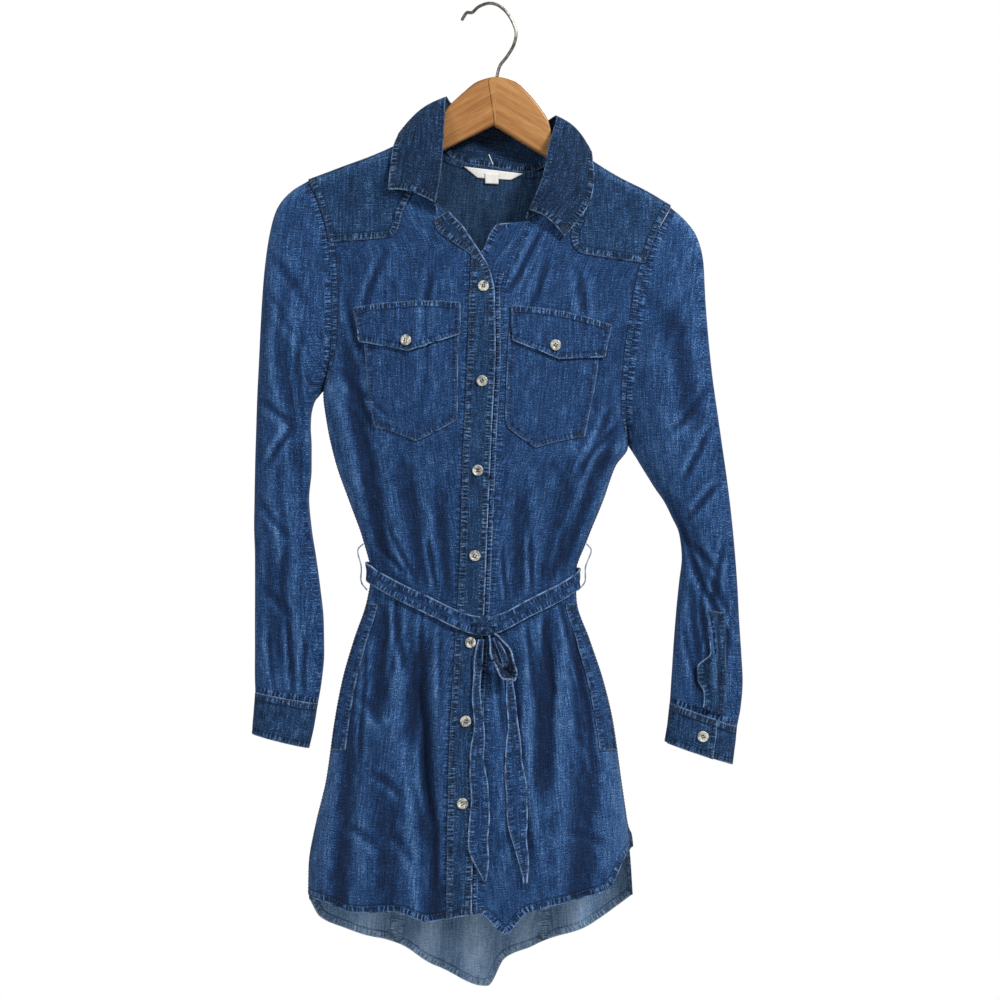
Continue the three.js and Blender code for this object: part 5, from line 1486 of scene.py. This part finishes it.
def make_collar():
    base, roll, edge = collar_lines(190)
    axis = np.array([COLLAR_AXIS_X, 0, -170.0])
    shares = spaced(34, 2.6, 1.2)[None, :, None] * 0.9
    grid = mix(base[:, None], roll[:, None], shares)
    edges = [("start", 1.0, 0.5, 0), ("end", 0.5, 0.0, 0), ("top", 1.0, 0.9, 0),
             ("bottom", 1.0, 0.9, 0)]
    piece = shell("collar_stand_band", grid, CLOTH, axis, cloth_pair("collar", "collar"), edges)
    settle(piece, ["collar_stand"])
    shares = spaced(60, 2.6, 1.2)[None, :, None]
    start, finish = roll[:, None], edge[:, None]
    away = np.stack([start[..., 0] - axis[0], start[..., 1] * 2 - 10, 0 * start[..., 0]], -1)
    away /= np.linalg.norm(away, axis=-1, keepdims=True)
    crown = np.sin(shares * np.pi) * LEAF_BELLY
    grid = mix(start, finish, shares) + away * crown * 0.5
    grid[..., 2] += crown[..., 0] + CLOTH + OVERLAY_GAP
    wave = np.sin(np.linspace(0, 44, 190))[:, None] * 0.5 * shares[..., 0] ** 2
    grid[..., 1] -= wave
    edges = [("start", 0.4, 0.3, 0), ("end", 1.0, 0.9, 0), ("top", 1.0, 0.9, 0),
             ("bottom", 1.0, 0.9, 0)]
    piece = shell("collar_leaf", grid, CLOTH, axis, cloth_pair("collar", "collar"), edges)
    settle(piece, ["collar"])


# Belt


def belt_row(face, share, across):
    level = BELT_FRONT_LEVEL if face < 0 else BELT_BACK_Z
    right, left = float(edge_x("right", level)), float(edge_x("left", level))
    x = (right + left) / 2 + np.sin(mix(-np.pi / 2, np.pi / 2, share)) * (left - right) / 2
    middle = belt_z(x) if face < 0 else mix(belt_z(right), belt_z(left), share)
    z = middle + across * BELT_WIDTH
    inside = np.clip(x, edge_x("right", z) + 0.6, edge_x("left", z) - 0.6)
    points = on_body(face, inside, z)
    core_x = (edge_x("right", z) + edge_x("left", z)) / 2
    flat = np.stack([(points[:, 0] - core_x) / ((left - right) / 2),
                     points[:, 1] / BODY_DEPTH_AT_BELT, 0 * z], -1)
    flat /= np.linalg.norm(flat, axis=1, keepdims=True)
    return points + flat * BELT_OUT


def make_belt():
    across = spaced(BELT_WIDTH, 2.2, 1.1) - 0.5
    front = [belt_row(-1, share, across) for share in np.linspace(0, 1, 110)]
    back = [belt_row(1, share, across) for share in np.linspace(1, 0, 92)[1:-1]]
    grid = np.array(front + back).swapaxes(0, 1)
    for _ in range(3):
        grid = (np.roll(grid, 1, 1) + 2 * grid + np.roll(grid, -1, 1)) / 4
    crease = 0.7 * rumple(np.arange(grid.shape[1])[None] * 2.4, across[:, None] * 40, 9, 2)
    normal, _ = outward(grid, body_core(grid), True)
    grid = grid + normal * (crease + 0.4)[..., None]
    edges = [("top", 0.8, 0.9, 0), ("bottom", 0.8, 1.0, 0)]
    piece = shell("belt_run", grid, BELT_THICKNESS, body_core(grid), cloth_pair("denim", "denim"),
                  edges, closed=True)
    settle(piece, ["belt"])
    make_knot()
    make_tails()
    make_loop()


def make_knot():
    """A flattened knot of gathered band, with folds running into its middle."""
    around, up = 64, 34
    width, depth, height = (size / 2 for size in KNOT_SIZE)
    angle = np.linspace(0, 2 * np.pi, around, endpoint=False)[None]
    tilt = np.linspace(0.02, np.pi - 0.02, up)[:, None]
    creases = 0.07 * np.sin(5 * angle + 1.5 * np.sin(tilt * 2)) + 0.05 * np.sin(9 * angle + 3)
    swell = 1 + creases * np.sin(tilt) ** 1.5
    square = 1 / (np.abs(np.cos(angle)) ** 3 + np.abs(np.sin(angle)) ** 3) ** (1 / 3)
    x = width * np.sin(tilt) * np.cos(angle) * swell * square * 0.97
    z = height * np.sin(tilt) * np.sin(angle) * swell * square * 0.97
    y = -depth * np.cos(tilt) * (1 + 0.1 * np.sin(3 * angle)) + 0 * angle
    centre = on_body(-1, *KNOT_AT, BELT_OUT + depth + 0.4)
    grid = np.stack([x, y, z], -1) + centre
    vertices = grid.reshape(-1, 3)
    faces = []
    for row in range(up - 1):
        for k in range(around):
            a, b = row * around + k, row * around + (k + 1) % around
            faces.append((a, b, b + around, a + around))
    faces.append(tuple(range(around))[::-1])
    faces.append(tuple(range((up - 1) * around, up * around)))
    piece = new_object("belt_knot_gather", vertices, faces, [MATERIALS["trim"]])
    count = len(vertices)
    weave = np.stack([vertices[:, 0], vertices[:, 2], np.zeros(count)], -1)
    put_attribute(piece, "weave", weave)
    bars = np.abs(np.sin(2.5 * np.broadcast_to(angle, x.shape))).ravel() * 9
    put_attribute(piece, "seam", np.stack([bars, vertices[:, 0] + vertices[:, 2],
                                           np.full(count, 0.8)], -1))
    # The knot's creases are painted into its tone as light and shade.
    put_attribute(piece, "wear_and_shade", np.stack([creases.repeat(1, 0).ravel() * 6, np.full(count, 0.6),
                                           np.zeros(count)], -1))
    settle(piece, ["belt_knot"])


def make_tails():
    for side in ("right", "left"):
        rows = by_index(TAILS[side], 96)
        columns = spaced(18, 2.2, 1.0)
        x = mix(rows["x1"][:, None], rows["x2"][:, None], columns[None])
        place = rows["z"][:, None]
        x = x + 0.8 * np.sin(place / 6.5) * (columns[None] - 0.5) + 0.7 * np.sin(place / 11 + 1)
        middle = (rows["x1"] + rows["x2"]) / 2
        surface = body_y(-1, middle, rows["z"]) - rows["out"]
        y = np.broadcast_to(surface[:, None], x.shape)
        down = np.linspace(0, 1, 96)[:, None]
        cup = np.sin(columns[None] * np.pi) * 1.1 * np.cos(down * 9 + (0 if side == "left" else 2))
        z = np.broadcast_to(rows["z"][:, None], x.shape)
        grid = np.stack([x, y - cup - 0.4 * rumple(x, z, 9, 4), z], -1)
        edges = [("start", 0.6, 1.0, 0), ("end", 0.6, 1.0, 0), ("bottom", 0.5, 1.0, 0)]
        piece = shell(f"belt_tail_{side}_band", grid, BELT_THICKNESS, body_core(grid),
                      cloth_pair("denim", "denim"), edges)
        settle(piece, [f"belt_tail_{side}"])


def make_loop():
    rows = by_index(LOOP_PATH, 90)
    across = spaced(LOOP_WIDTH, 2.0, 1.0)[None]
    surface = body_y(-1, rows["x"], rows["z"])[:, None]
    y = surface - rows["out"][:, None] - across * LOOP_WIDTH
    open_by = 1 + LOOP_FLARE * np.sin(np.linspace(0, np.pi, 90))[:, None] ** 0.7 * (across - 0.85)
    wave = 0.9 * np.sin(np.linspace(0, 34, 90))[:, None] * (across - 0.4)
    x = LOOP_CENTRE[0] + (rows["x"][:, None] - LOOP_CENTRE[0]) * open_by + wave
    z = LOOP_CENTRE[1] + (rows["z"][:, None] - LOOP_CENTRE[1]) * open_by + wave
    grid = np.stack([x, y, z], -1)
    core = np.broadcast_to(np.array([LOOP_CENTRE[0], 0.0, LOOP_CENTRE[1]]), grid.shape).copy()
    core[..., 1] = grid[..., 1]
    edges = [("start", 1.0, 1.0, 0), ("end", 1.0, 1.0, 0)]
    piece = shell("belt_loop_band", grid, BELT_THICKNESS, core, cloth_pair("trim", "collar"), edges)
    settle(piece, ["belt_loop"])


def make_carriers():
    for side in ("right", "left"):
        sign = SIGN[side]

        def beside(z, out):
            return (float(edge_x(side, z)) + sign * (1.4 + out), -1.5, z)

        path = catmull([beside(-566, 0), beside(-572, 7), beside(-590, 8), beside(-606, 8),
                        beside(-614, 1)], 60)
        piece = tube(f"carrier_{side}_thread", path, 0.75, 10, MATERIALS["chain"], twist=0.7)
        settle(piece, [f"carrier_{side}"])


# Buttons, labels and sewing


def turned(outline, sides):
    """A round body of revolution about +Z, from (radius, height) rows, in millimetres."""
    angles = np.linspace(0, 2 * np.pi, sides, endpoint=False)
    rings = [np.stack([r * np.cos(angles), r * np.sin(angles), np.full(sides, h)], -1)
             for r, h in outline]
    vertices = np.concatenate(rings)
    faces = []
    for row in range(len(rings) - 1):
        for k in range(sides):
            a, b = row * sides + k, row * sides + (k + 1) % sides
            faces.append((a, b, b + sides, a + sides))
    faces.append(tuple(range(sides))[::-1])
    faces.append(tuple(range(len(vertices) - sides, len(vertices))))
    return vertices, faces


def joined(name, parts):
    """One object from (vertices, faces, material) parts."""
    vertices, faces, slots, materials = [], [], [], []
    start = 0
    for points, part_faces, material in parts:
        if material not in materials:
            materials.append(material)
        vertices.append(points)
        faces += [tuple(i + start for i in f) for f in part_faces]
        slots += [materials.index(material)] * len(part_faces)
        start += len(points)
    return new_object(name, np.concatenate(vertices), faces, materials, slots)


BUTTON_OUTLINE = [
    (4.6, 0.0), (5.3, 0.25), (5.7, 0.8), (5.75, 1.3), (5.5, 1.8), (4.95, 2.15), (4.5, 2.2),
    (4.0, 2.0), (3.6, 1.65), (3.3, 1.5), (1.5, 1.42), (0.3, 1.4),
]
BUTTON_OUTLINE_DIAMETER = 11.5
THREAD_DOT_OUTLINE = [(0.72, 1.4), (0.72, 1.62), (0.5, 1.68), (0.1, 1.7)]
HOLE_PLACE = 1.15


def make_button(name, at, normal, turn):
    diameter = bpy.context.scene.shirt_dress_sizes.button_diameter * 1000
    size = diameter / BUTTON_OUTLINE_DIAMETER
    body = turned([(r * size, h) for r, h in BUTTON_OUTLINE], 40)
    hole = turned(THREAD_DOT_OUTLINE, 12)
    parts = [(body[0], body[1], MATERIALS["button"])]
    for y in (HOLE_PLACE, -HOLE_PLACE):
        for x in (HOLE_PLACE, -HOLE_PLACE):
            parts.append((hole[0] + (x, y, 0), hole[1], MATERIALS["button_thread"]))
    for y in (HOLE_PLACE, -HOLE_PLACE):
        strand = np.array([(-1.3, y - 0.42, 1.55), (1.3, y - 0.42, 1.55), (1.3, y, 2.15),
                           (-1.3, y, 2.15), (-1.3, y + 0.42, 1.55), (1.3, y + 0.42, 1.55)])
        sides = [(0, 1, 2, 3), (3, 2, 5, 4), (0, 3, 4), (1, 5, 2), (0, 4, 5, 1)]
        parts.append((strand, sides, MATERIALS["button_thread"]))
    spin = Matrix.Rotation(turn, 3, "Z")
    tilt = Vector((0, 0, 1)).rotation_difference(Vector(normal)).to_matrix()
    rotate = np.array(tilt @ spin)
    parts = [(points @ rotate.T + np.asarray(at), faces, m) for points, faces, m in parts]
    return joined(name, parts)


def make_buttons():
    lift = OVERLAY_GAP + CLOTH + BUTTON_GAP
    for number, z in enumerate(BUTTON_LEVELS, 1):
        x = (inner_edge("right", z) + read(PLACKET_EDGE, "z", "x", z)) / 2 + 1
        at = on_body(-1, x, z, lift)
        normal = on_body(-1, x, z, lift + 1) - at
        piece = make_button(f"front_button_{number}", at, normal, 0.5 + number * 0.9)
        settle(piece, [f"button_{number}"])
    for side in ("right", "left"):
        x, z = POCKET_BUTTONS[side]
        lift = 2 * (OVERLAY_GAP + CLOTH) + 2.3
        at = on_body(-1, x, z, lift)
        normal = on_body(-1, x, z, lift + 1) - at
        piece = make_button(f"flap_button_{side}", at, normal, 1.1)
        settle(piece, [f"pocket_button_{side}"])
        facing = -1 if side == "right" else 1
        middle = {name: column[1:2].copy() for name, column in CUFFS[side].items()}
        middle["depth"] = middle["depth"] + 3.2
        at = ring_points(middle, [facing * np.pi * 0.5], side)[0, 0]
        piece = make_button(f"cuff_{side}_button", at, (0, -facing, 0), 0.3)
        settle(piece, [f"cuff_button_{side}"])


def make_labels():
    plates = {
        "neck_label": ((-26, 37, -168, -175.5), (-11, 24, -180, -182), OVERLAY_GAP + 0.7, 0.7),
        "size_tag": ((-3, 11, -175, -175.5), (-3, 11, -186, -186.5), OVERLAY_GAP + 2, 0.6),
    }
    for name, (top, bottom, inset_depth, thickness) in plates.items():
        rows, columns = np.linspace(0, 1, 9)[:, None], np.linspace(0, 1, 24)[None]
        x = mix(mix(top[0], top[1], columns), mix(bottom[0], bottom[1], columns), rows)
        z = mix(mix(top[2], top[3], columns), mix(bottom[2], bottom[3], columns), rows)
        y = body_y(1, x, z) - CLOTH - inset_depth - 0.25 * np.sin(columns * 9) * rows
        grid = np.stack([x, y, z], -1)
        core = grid + (0, 10, 0)
        piece = shell(f"{name}_ribbon", grid, thickness, core,
                      [MATERIALS["label"], MATERIALS["label"]])
        settle(piece, [name])
    points = [(1, body_y(1, 1, -158) - 5, -156), (2.5, body_y(1, 3, -160) - 6.5, -160),
              (5, body_y(1, 5, -165) - 5, -166)]
    piece = tube("label_thread_end", catmull(points, 20), 0.45, 8, MATERIALS["label"])
    settle(piece)


def stitch_mesh(name, lines, pitch, length, width):
    """Many stitches as one mesh: each is a small lens of thread along its line."""
    vertices, faces = [], []
    for line, ups in lines:
        lengths = np.concatenate([[0], np.cumsum(np.linalg.norm(np.diff(line, axis=0), axis=1))])
        count = int(lengths[-1] / pitch)
        for number in range(count):
            middle = (number + 0.5) * pitch
            ends = [np.array([np.interp(s, lengths, line[:, k]) for k in range(3)])
                    for s in (middle - length / 2, middle + length / 2)]
            up = np.array([np.interp(middle, lengths, ups[:, k]) for k in range(3)])
            side = np.cross(ends[1] - ends[0], up)
            side /= max(np.linalg.norm(side), 1e-9)
            centre = (ends[0] + ends[1]) / 2
            start = len(vertices)
            vertices += [ends[0], centre - side * width / 2, centre + up * width * 0.6,
                         centre + side * width / 2, ends[1]]
            faces += [(start, start + 1, start + 2), (start, start + 2, start + 3),
                      (start + 4, start + 2, start + 1), (start + 4, start + 3, start + 2),
                      (start, start + 3, start + 1), (start + 4, start + 1, start + 3)]
    piece = new_object(name, vertices, faces, [MATERIALS["thread"]])
    return settle(piece)


def make_stitches():
    """Twin rows beside the main seams, and single rows on the sewn edges."""
    twin = (1.6, 6.2)
    rows = []
    for side in ("right", "left"):
        rows += [(f"front_{side}_panel", "end", d, 0.07) for d in twin]
        rows += [(f"front_{side}_panel", "bottom", 6.5)]
        rows += [(f"back_side_{side}_panel", "start", d) for d in (1.6, 7.4)]
        rows += [(f"back_side_{side}_panel", "end", d, 0.07) for d in twin]
        rows += [(f"back_side_{side}_panel", "bottom", 6.5)]
        rows += [(f"yoke_{side}_piece", "bottom", d) for d in (1.8, 7.0)]
        rows += [(f"yoke_{side}_piece", "end", d) for d in twin]
        rows += [(f"pocket_{side}_patch", edge, d) for edge in ("bottom", "start", "end")
                 for d in (1.6, 5.2)]
        rows += [(f"flap_{side}_piece", edge, 1.8) for edge in ("bottom", "start", "end")]
        rows += [(f"flap_{side}_piece", "top", d) for d in (1.6, 6.2)]
        rows += [(f"welt_{side}_strip", edge, 1.8) for edge in ("start", "end")]
        rows += [(f"cuff_{side}_band", edge, 2.2) for edge in ("top", "bottom")]
        rows += [(f"cuff_{side}_lap", edge, d) for edge in ("top", "start") for d in (2.0, 6.4)]
        rows += [(f"cuff_{side}_lap", "bottom", 2.2)]
        rows += [(f"sleeve_{side}_placket_strip", edge, 1.8) for edge in ("start", "end")]
        rows += [(f"belt_tail_{side}_band", edge, 1.8) for edge in ("start", "end")]
    rows += [("back_centre_panel", "bottom", 6.5), ("back_centre_panel", "top", 2.0)]
    rows += [("placket_right_band", edge, d) for edge in ("start", "end") for d in (2.0, 6.5)]
    rows += [("placket_left_band", edge, 2.2) for edge in ("start", "end")]
    rows += [("collar_leaf", "end", 6.0), ("collar_leaf", "top", 6.0), ("collar_leaf", "bottom", 6.0)]
    rows += [("collar_stand_band", "start", 2.0), ("collar_stand_band", "end", 3.0)]
    rows += [("belt_run", edge, 1.9) for edge in ("top", "bottom")]
    sizes = bpy.context.scene.shirt_dress_sizes
    pitch = sizes.stitch_pitch * 1000
    lines = [inset(name, edge, distance, low=low[0] if low else 0.0)
             for name, edge, distance, *low in rows]
    stitch_mesh("stitches", lines, pitch, pitch * 0.72, 0.75)


# Hanger


def wood_top(x):
    under_neck = np.exp(-(((x - NECK_MIDDLE) / NECK_REACH) ** 8))
    hidden = shoulder_z(x) - CLOTH - WOOD_CLEARANCE * (1 + under_neck)
    neck = (x > WOOD_TOP["x"][0]) & (x < WOOD_TOP["x"][-1])
    return np.where(neck, read(WOOD_TOP, "x", "z", x), hidden)


FINGER_JOINT = table("z x", [
    (-129, 6), (-121, 7), (-113, 15), (-105, 1), (-97, 14.5), (-86, -1), (-74, 3),
])


def make_hanger():
    stations = np.linspace(WOOD_ENDS[0] + 0.5, WOOD_ENDS[1] - 0.5, 240)
    top = wood_top(stations)
    kernel = np.array([1, 2, 3, 2, 1]) / 9
    top[4:-4] = np.convolve(top, kernel, "same")[4:-4]
    bottom = np.interp(stations, WOOD_BOTTOM["x"], WOOD_BOTTOM["z"])
    low, high = WOOD_ENDS
    taper = np.sqrt(np.clip(1 - (1 - np.minimum(stations - low, high - stations) / 9).clip(0) ** 2,
                            0.04, 1))
    centre, half = (top + bottom) / 2, (top - bottom) / 2 * taper
    thick = WOOD_THICKNESS / 2 * mix(0.55, 1.0, taper)
    angles = np.linspace(0, 2 * np.pi, 48, endpoint=False)
    rings = []
    for x, z, h, t in zip(stations, centre, half, thick):
        corner = min(WOOD_EDGE_ROUND, h * 0.98, t * 0.98)
        cos, sin = np.cos(angles), np.sin(angles)
        y = np.sign(cos) * (t - corner) + corner * cos
        up = np.sign(sin) * (h - corner) + corner * sin
        rings.append(np.stack([np.full(len(angles), x), y, z + up], -1))
    grid = np.array(rings)
    vertices = grid.reshape(-1, 3)
    sides = len(angles)
    faces = []
    for row in range(len(rings) - 1):
        for k in range(sides):
            a, b = row * sides + k, row * sides + (k + 1) % sides
            faces.append((a, a + sides, b + sides, b))
    faces.append(tuple(range(sides)))
    faces.append(tuple(range(len(vertices) - sides, len(vertices)))[::-1])
    piece = new_object("hanger_bar", vertices, faces, [MATERIALS["wood"]])
    x, y, z = vertices.T
    slope = np.where(x < 8, 0.52, -0.52)
    along = x * np.cos(slope) + z * np.sin(slope)
    over = -x * np.sin(slope) + z * np.cos(slope)
    put_attribute(piece, "grain", np.stack([along, over, y + np.where(x < 8, 0, 60)], -1))
    joint = x - np.interp(z, FINGER_JOINT["z"], FINGER_JOINT["x"])
    put_attribute(piece, "joint", np.stack([joint, 0 * x, 0 * x], -1))
    settle(piece, ["hanger_wood"])
    path = catmull(np.stack([HOOK_PATH["x"], 0 * HOOK_PATH["x"], HOOK_PATH["z"]], -1), 150)
    piece = tube("hanger_hook_wire", path, WIRE_RADIUS, 20, MATERIALS["steel"])
    settle(piece, ["hanger_hook"])


# Stage: a floor disc in millimetres, and a camera in metres that frames the photo's square


FLOOR_RADIUS = 850
FLOOR_LEVEL = -1250.0
FLOOR_SIDES = 96
SENSOR_WIDTH = 36
PHOTO_WIDTH_M = 1.05
PHOTO_MIDDLE_X_M = 0.0126
PHOTO_MIDDLE_Z_M = -0.51975


def make_stage():
    sizes = bpy.context.scene.shirt_dress_sizes
    world = bpy.data.worlds.new("soft_white_room")
    bpy.context.scene.world = world
    world.use_nodes = True
    tree = world.node_tree
    tree.nodes.clear()
    seen = add_node(tree, "ShaderNodeBackground", None, Color=(1, 1, 1, 1), Strength=1.0)
    light = add_node(tree, "ShaderNodeBackground", None, Color=(0.93, 0.96, 1, 1), Strength=0.3)
    path = add_node(tree, "ShaderNodeLightPath")
    both = add_node(tree, "ShaderNodeMixShader", None, _0=path.outputs["Is Camera Ray"],
                    _1=light.outputs[0], _2=seen.outputs[0])
    add_node(tree, "ShaderNodeOutputWorld", None, Surface=both.outputs[0])
    bpy.context.scene.view_settings.view_transform = "Standard"
    angles = np.linspace(0, 2 * np.pi, FLOOR_SIDES, endpoint=False)
    disc = np.stack([FLOOR_RADIUS * np.cos(angles), FLOOR_RADIUS * np.sin(angles),
                     np.full(FLOOR_SIDES, FLOOR_LEVEL)], -1)
    floor = new_object("floor", disc, [tuple(range(FLOOR_SIDES))], [MATERIALS["floor"]],
                       is_smooth=False)
    lamps = {
        "key_softbox": ((1.6, -1.9, 1.1), (0.0, 0.0, -0.5), 0.7, 82),
        "fill_softbox": ((-2.0, -2.1, 0.3), (0.0, 0.0, -0.5), 1.3, 30),
        "rim_softbox": ((0.6, 2.2, 0.8), (0.0, 0.0, -0.4), 1.6, 34),
    }
    for name, (place, aim, size, power) in lamps.items():
        lamp = bpy.data.lights.new(name, "AREA")
        lamp.shape = "DISK"
        lamp.size = size
        lamp.energy = power
        holder = bpy.data.objects.new(name, lamp)
        bpy.context.scene.collection.objects.link(holder)
        holder.location = place
        holder.rotation_euler = (Vector(aim) - Vector(place)).to_track_quat("-Z", "Y").to_euler()
    camera = bpy.data.cameras.new("camera")
    camera.sensor_width = SENSOR_WIDTH
    camera.lens = SENSOR_WIDTH * sizes.camera_distance / PHOTO_WIDTH_M
    camera.clip_end = 20
    holder = bpy.data.objects.new("camera", camera)
    bpy.context.scene.collection.objects.link(holder)
    holder.location = (PHOTO_MIDDLE_X_M, -sizes.camera_distance, PHOTO_MIDDLE_Z_M)
    holder.rotation_euler = (math.radians(90), 0, 0)
    bpy.context.scene.camera = holder


# The add-on: sizes and colours, one operator for each group of pieces, and their panel


class ShirtDressSizes(bpy.types.PropertyGroup):
    """Sizes that a user may change"""

    button_diameter: bpy.props.FloatProperty(
        name="Button diameter", description="Across each button",
        default=0.0115, min=0.009, max=0.012, unit="LENGTH")
    stitch_pitch: bpy.props.FloatProperty(
        name="Stitch pitch", description="From the start of one stitch to the next",
        default=0.0034, min=0.002, max=0.006, unit="LENGTH")
    camera_distance: bpy.props.FloatProperty(
        name="Camera distance", description="From the camera to the middle of the dress",
        default=2.4, min=1.0, max=6.0, unit="LENGTH")


class ShirtDressColours(bpy.types.PropertyGroup):
    """Colours that a user may change, as sRGB hex values"""

    worn_edge: bpy.props.StringProperty(
        name="Worn edge", description="Faded cloth along folded edges", default="#86a6d0")
    thread: bpy.props.StringProperty(
        name="Thread", description="Sewing thread of the seams", default="#16233b")
    wood: bpy.props.StringProperty(
        name="Wood", description="Middle tone of the hanger's wood", default="#9f6b37")


class SHIRTDRESS_OT_finishes(bpy.types.Operator):
    """Make every material of the dress and its hanger"""

    bl_idname = "shirtdress.finishes"
    bl_label = "Finishes"

    def execute(self, context):
        MATERIALS.update(build_materials())
        return {"FINISHED"}


class SHIRTDRESS_OT_body(bpy.types.Operator):
    """Cut the two fronts and the back in three"""

    bl_idname = "shirtdress.body"
    bl_label = "Body panels"

    def execute(self, context):
        make_body()
        return {"FINISHED"}


class SHIRTDRESS_OT_yokes(bpy.types.Operator):
    """Lay the two western yokes on the fronts"""

    bl_idname = "shirtdress.yokes"
    bl_label = "Yokes"

    def execute(self, context):
        make_yokes()
        return {"FINISHED"}


class SHIRTDRESS_OT_plackets(bpy.types.Operator):
    """Lay the front placket over the under placket"""

    bl_idname = "shirtdress.plackets"
    bl_label = "Plackets"

    def execute(self, context):
        make_plackets()
        return {"FINISHED"}


class SHIRTDRESS_OT_pockets(bpy.types.Operator):
    """Lay on the chest pockets, their flaps and the side pocket welts"""

    bl_idname = "shirtdress.pockets"
    bl_label = "Pockets, flaps and welts"

    def execute(self, context):
        make_pockets()
        return {"FINISHED"}


class SHIRTDRESS_OT_sleeves(bpy.types.Operator):
    """Make the sleeves, cuffs and sleeve plackets"""

    bl_idname = "shirtdress.sleeves"
    bl_label = "Sleeves and cuffs"

    def execute(self, context):
        make_sleeves()
        return {"FINISHED"}


class SHIRTDRESS_OT_collar(bpy.types.Operator):
    """Make the collar stand and leaf"""

    bl_idname = "shirtdress.collar"
    bl_label = "Collar"

    def execute(self, context):
        make_collar()
        return {"FINISHED"}


class SHIRTDRESS_OT_belt(bpy.types.Operator):
    """Make the belt, its knot, loop and tails, and the thread carriers"""

    bl_idname = "shirtdress.belt"
    bl_label = "Belt and carriers"

    def execute(self, context):
        make_belt()
        make_carriers()
        return {"FINISHED"}


class SHIRTDRESS_OT_buttons(bpy.types.Operator):
    """Sew on the front, pocket and cuff buttons"""

    bl_idname = "shirtdress.buttons"
    bl_label = "Buttons"

    def execute(self, context):
        make_buttons()
        return {"FINISHED"}


class SHIRTDRESS_OT_labels(bpy.types.Operator):
    """Sew in the blank neck label and size tag"""

    bl_idname = "shirtdress.labels"
    bl_label = "Blank labels"

    def execute(self, context):
        make_labels()
        return {"FINISHED"}


class SHIRTDRESS_OT_stitches(bpy.types.Operator):
    """Sew the visible rows of stitches"""

    bl_idname = "shirtdress.stitches"
    bl_label = "Stitches"

    def execute(self, context):
        make_stitches()
        return {"FINISHED"}


class SHIRTDRESS_OT_hanger(bpy.types.Operator):
    """Make the wooden hanger and its wire hook"""

    bl_idname = "shirtdress.hanger"
    bl_label = "Hanger"

    def execute(self, context):
        make_hanger()
        return {"FINISHED"}


class SHIRTDRESS_OT_stage(bpy.types.Operator):
    """Set the floor, the lights and the camera"""

    bl_idname = "shirtdress.stage"
    bl_label = "Stage"

    def execute(self, context):
        make_stage()
        return {"FINISHED"}


OPERATORS = (
    SHIRTDRESS_OT_finishes, SHIRTDRESS_OT_body, SHIRTDRESS_OT_yokes, SHIRTDRESS_OT_plackets,
    SHIRTDRESS_OT_pockets, SHIRTDRESS_OT_sleeves, SHIRTDRESS_OT_collar, SHIRTDRESS_OT_belt,
    SHIRTDRESS_OT_buttons, SHIRTDRESS_OT_labels, SHIRTDRESS_OT_stitches, SHIRTDRESS_OT_hanger,
    SHIRTDRESS_OT_stage,
)


class SHIRTDRESS_PT_panel(bpy.types.Panel):
    """Lists the steps that build the dress, and its sizes and colours"""

    bl_idname = "SHIRTDRESS_PT_panel"
    bl_label = "Shirt dress"
    bl_space_type = "VIEW_3D"
    bl_region_type = "UI"
    bl_category = "Shirt dress"

    def draw(self, context):
        for group in (context.scene.shirt_dress_sizes, context.scene.shirt_dress_colours):
            box = self.layout.box()
            for name in group.__annotations__:
                box.prop(group, name)
        for operator in OPERATORS:
            self.layout.operator(operator.bl_idname)


CLASSES = (ShirtDressSizes, ShirtDressColours, *OPERATORS, SHIRTDRESS_PT_panel)


def register():
    for item in CLASSES:
        bpy.utils.register_class(item)
    bpy.types.Scene.shirt_dress_sizes = bpy.props.PointerProperty(type=ShirtDressSizes)
    bpy.types.Scene.shirt_dress_colours = bpy.props.PointerProperty(type=ShirtDressColours)


def unregister():
    del bpy.types.Scene.shirt_dress_colours
    del bpy.types.Scene.shirt_dress_sizes
    for item in reversed(CLASSES):
        bpy.utils.unregister_class(item)


def main():
    register()
    for operator in OPERATORS:
        group, name = operator.bl_idname.split(".")
        getattr(getattr(bpy.ops, group), name)()


if __name__ == "__main__":
    main()
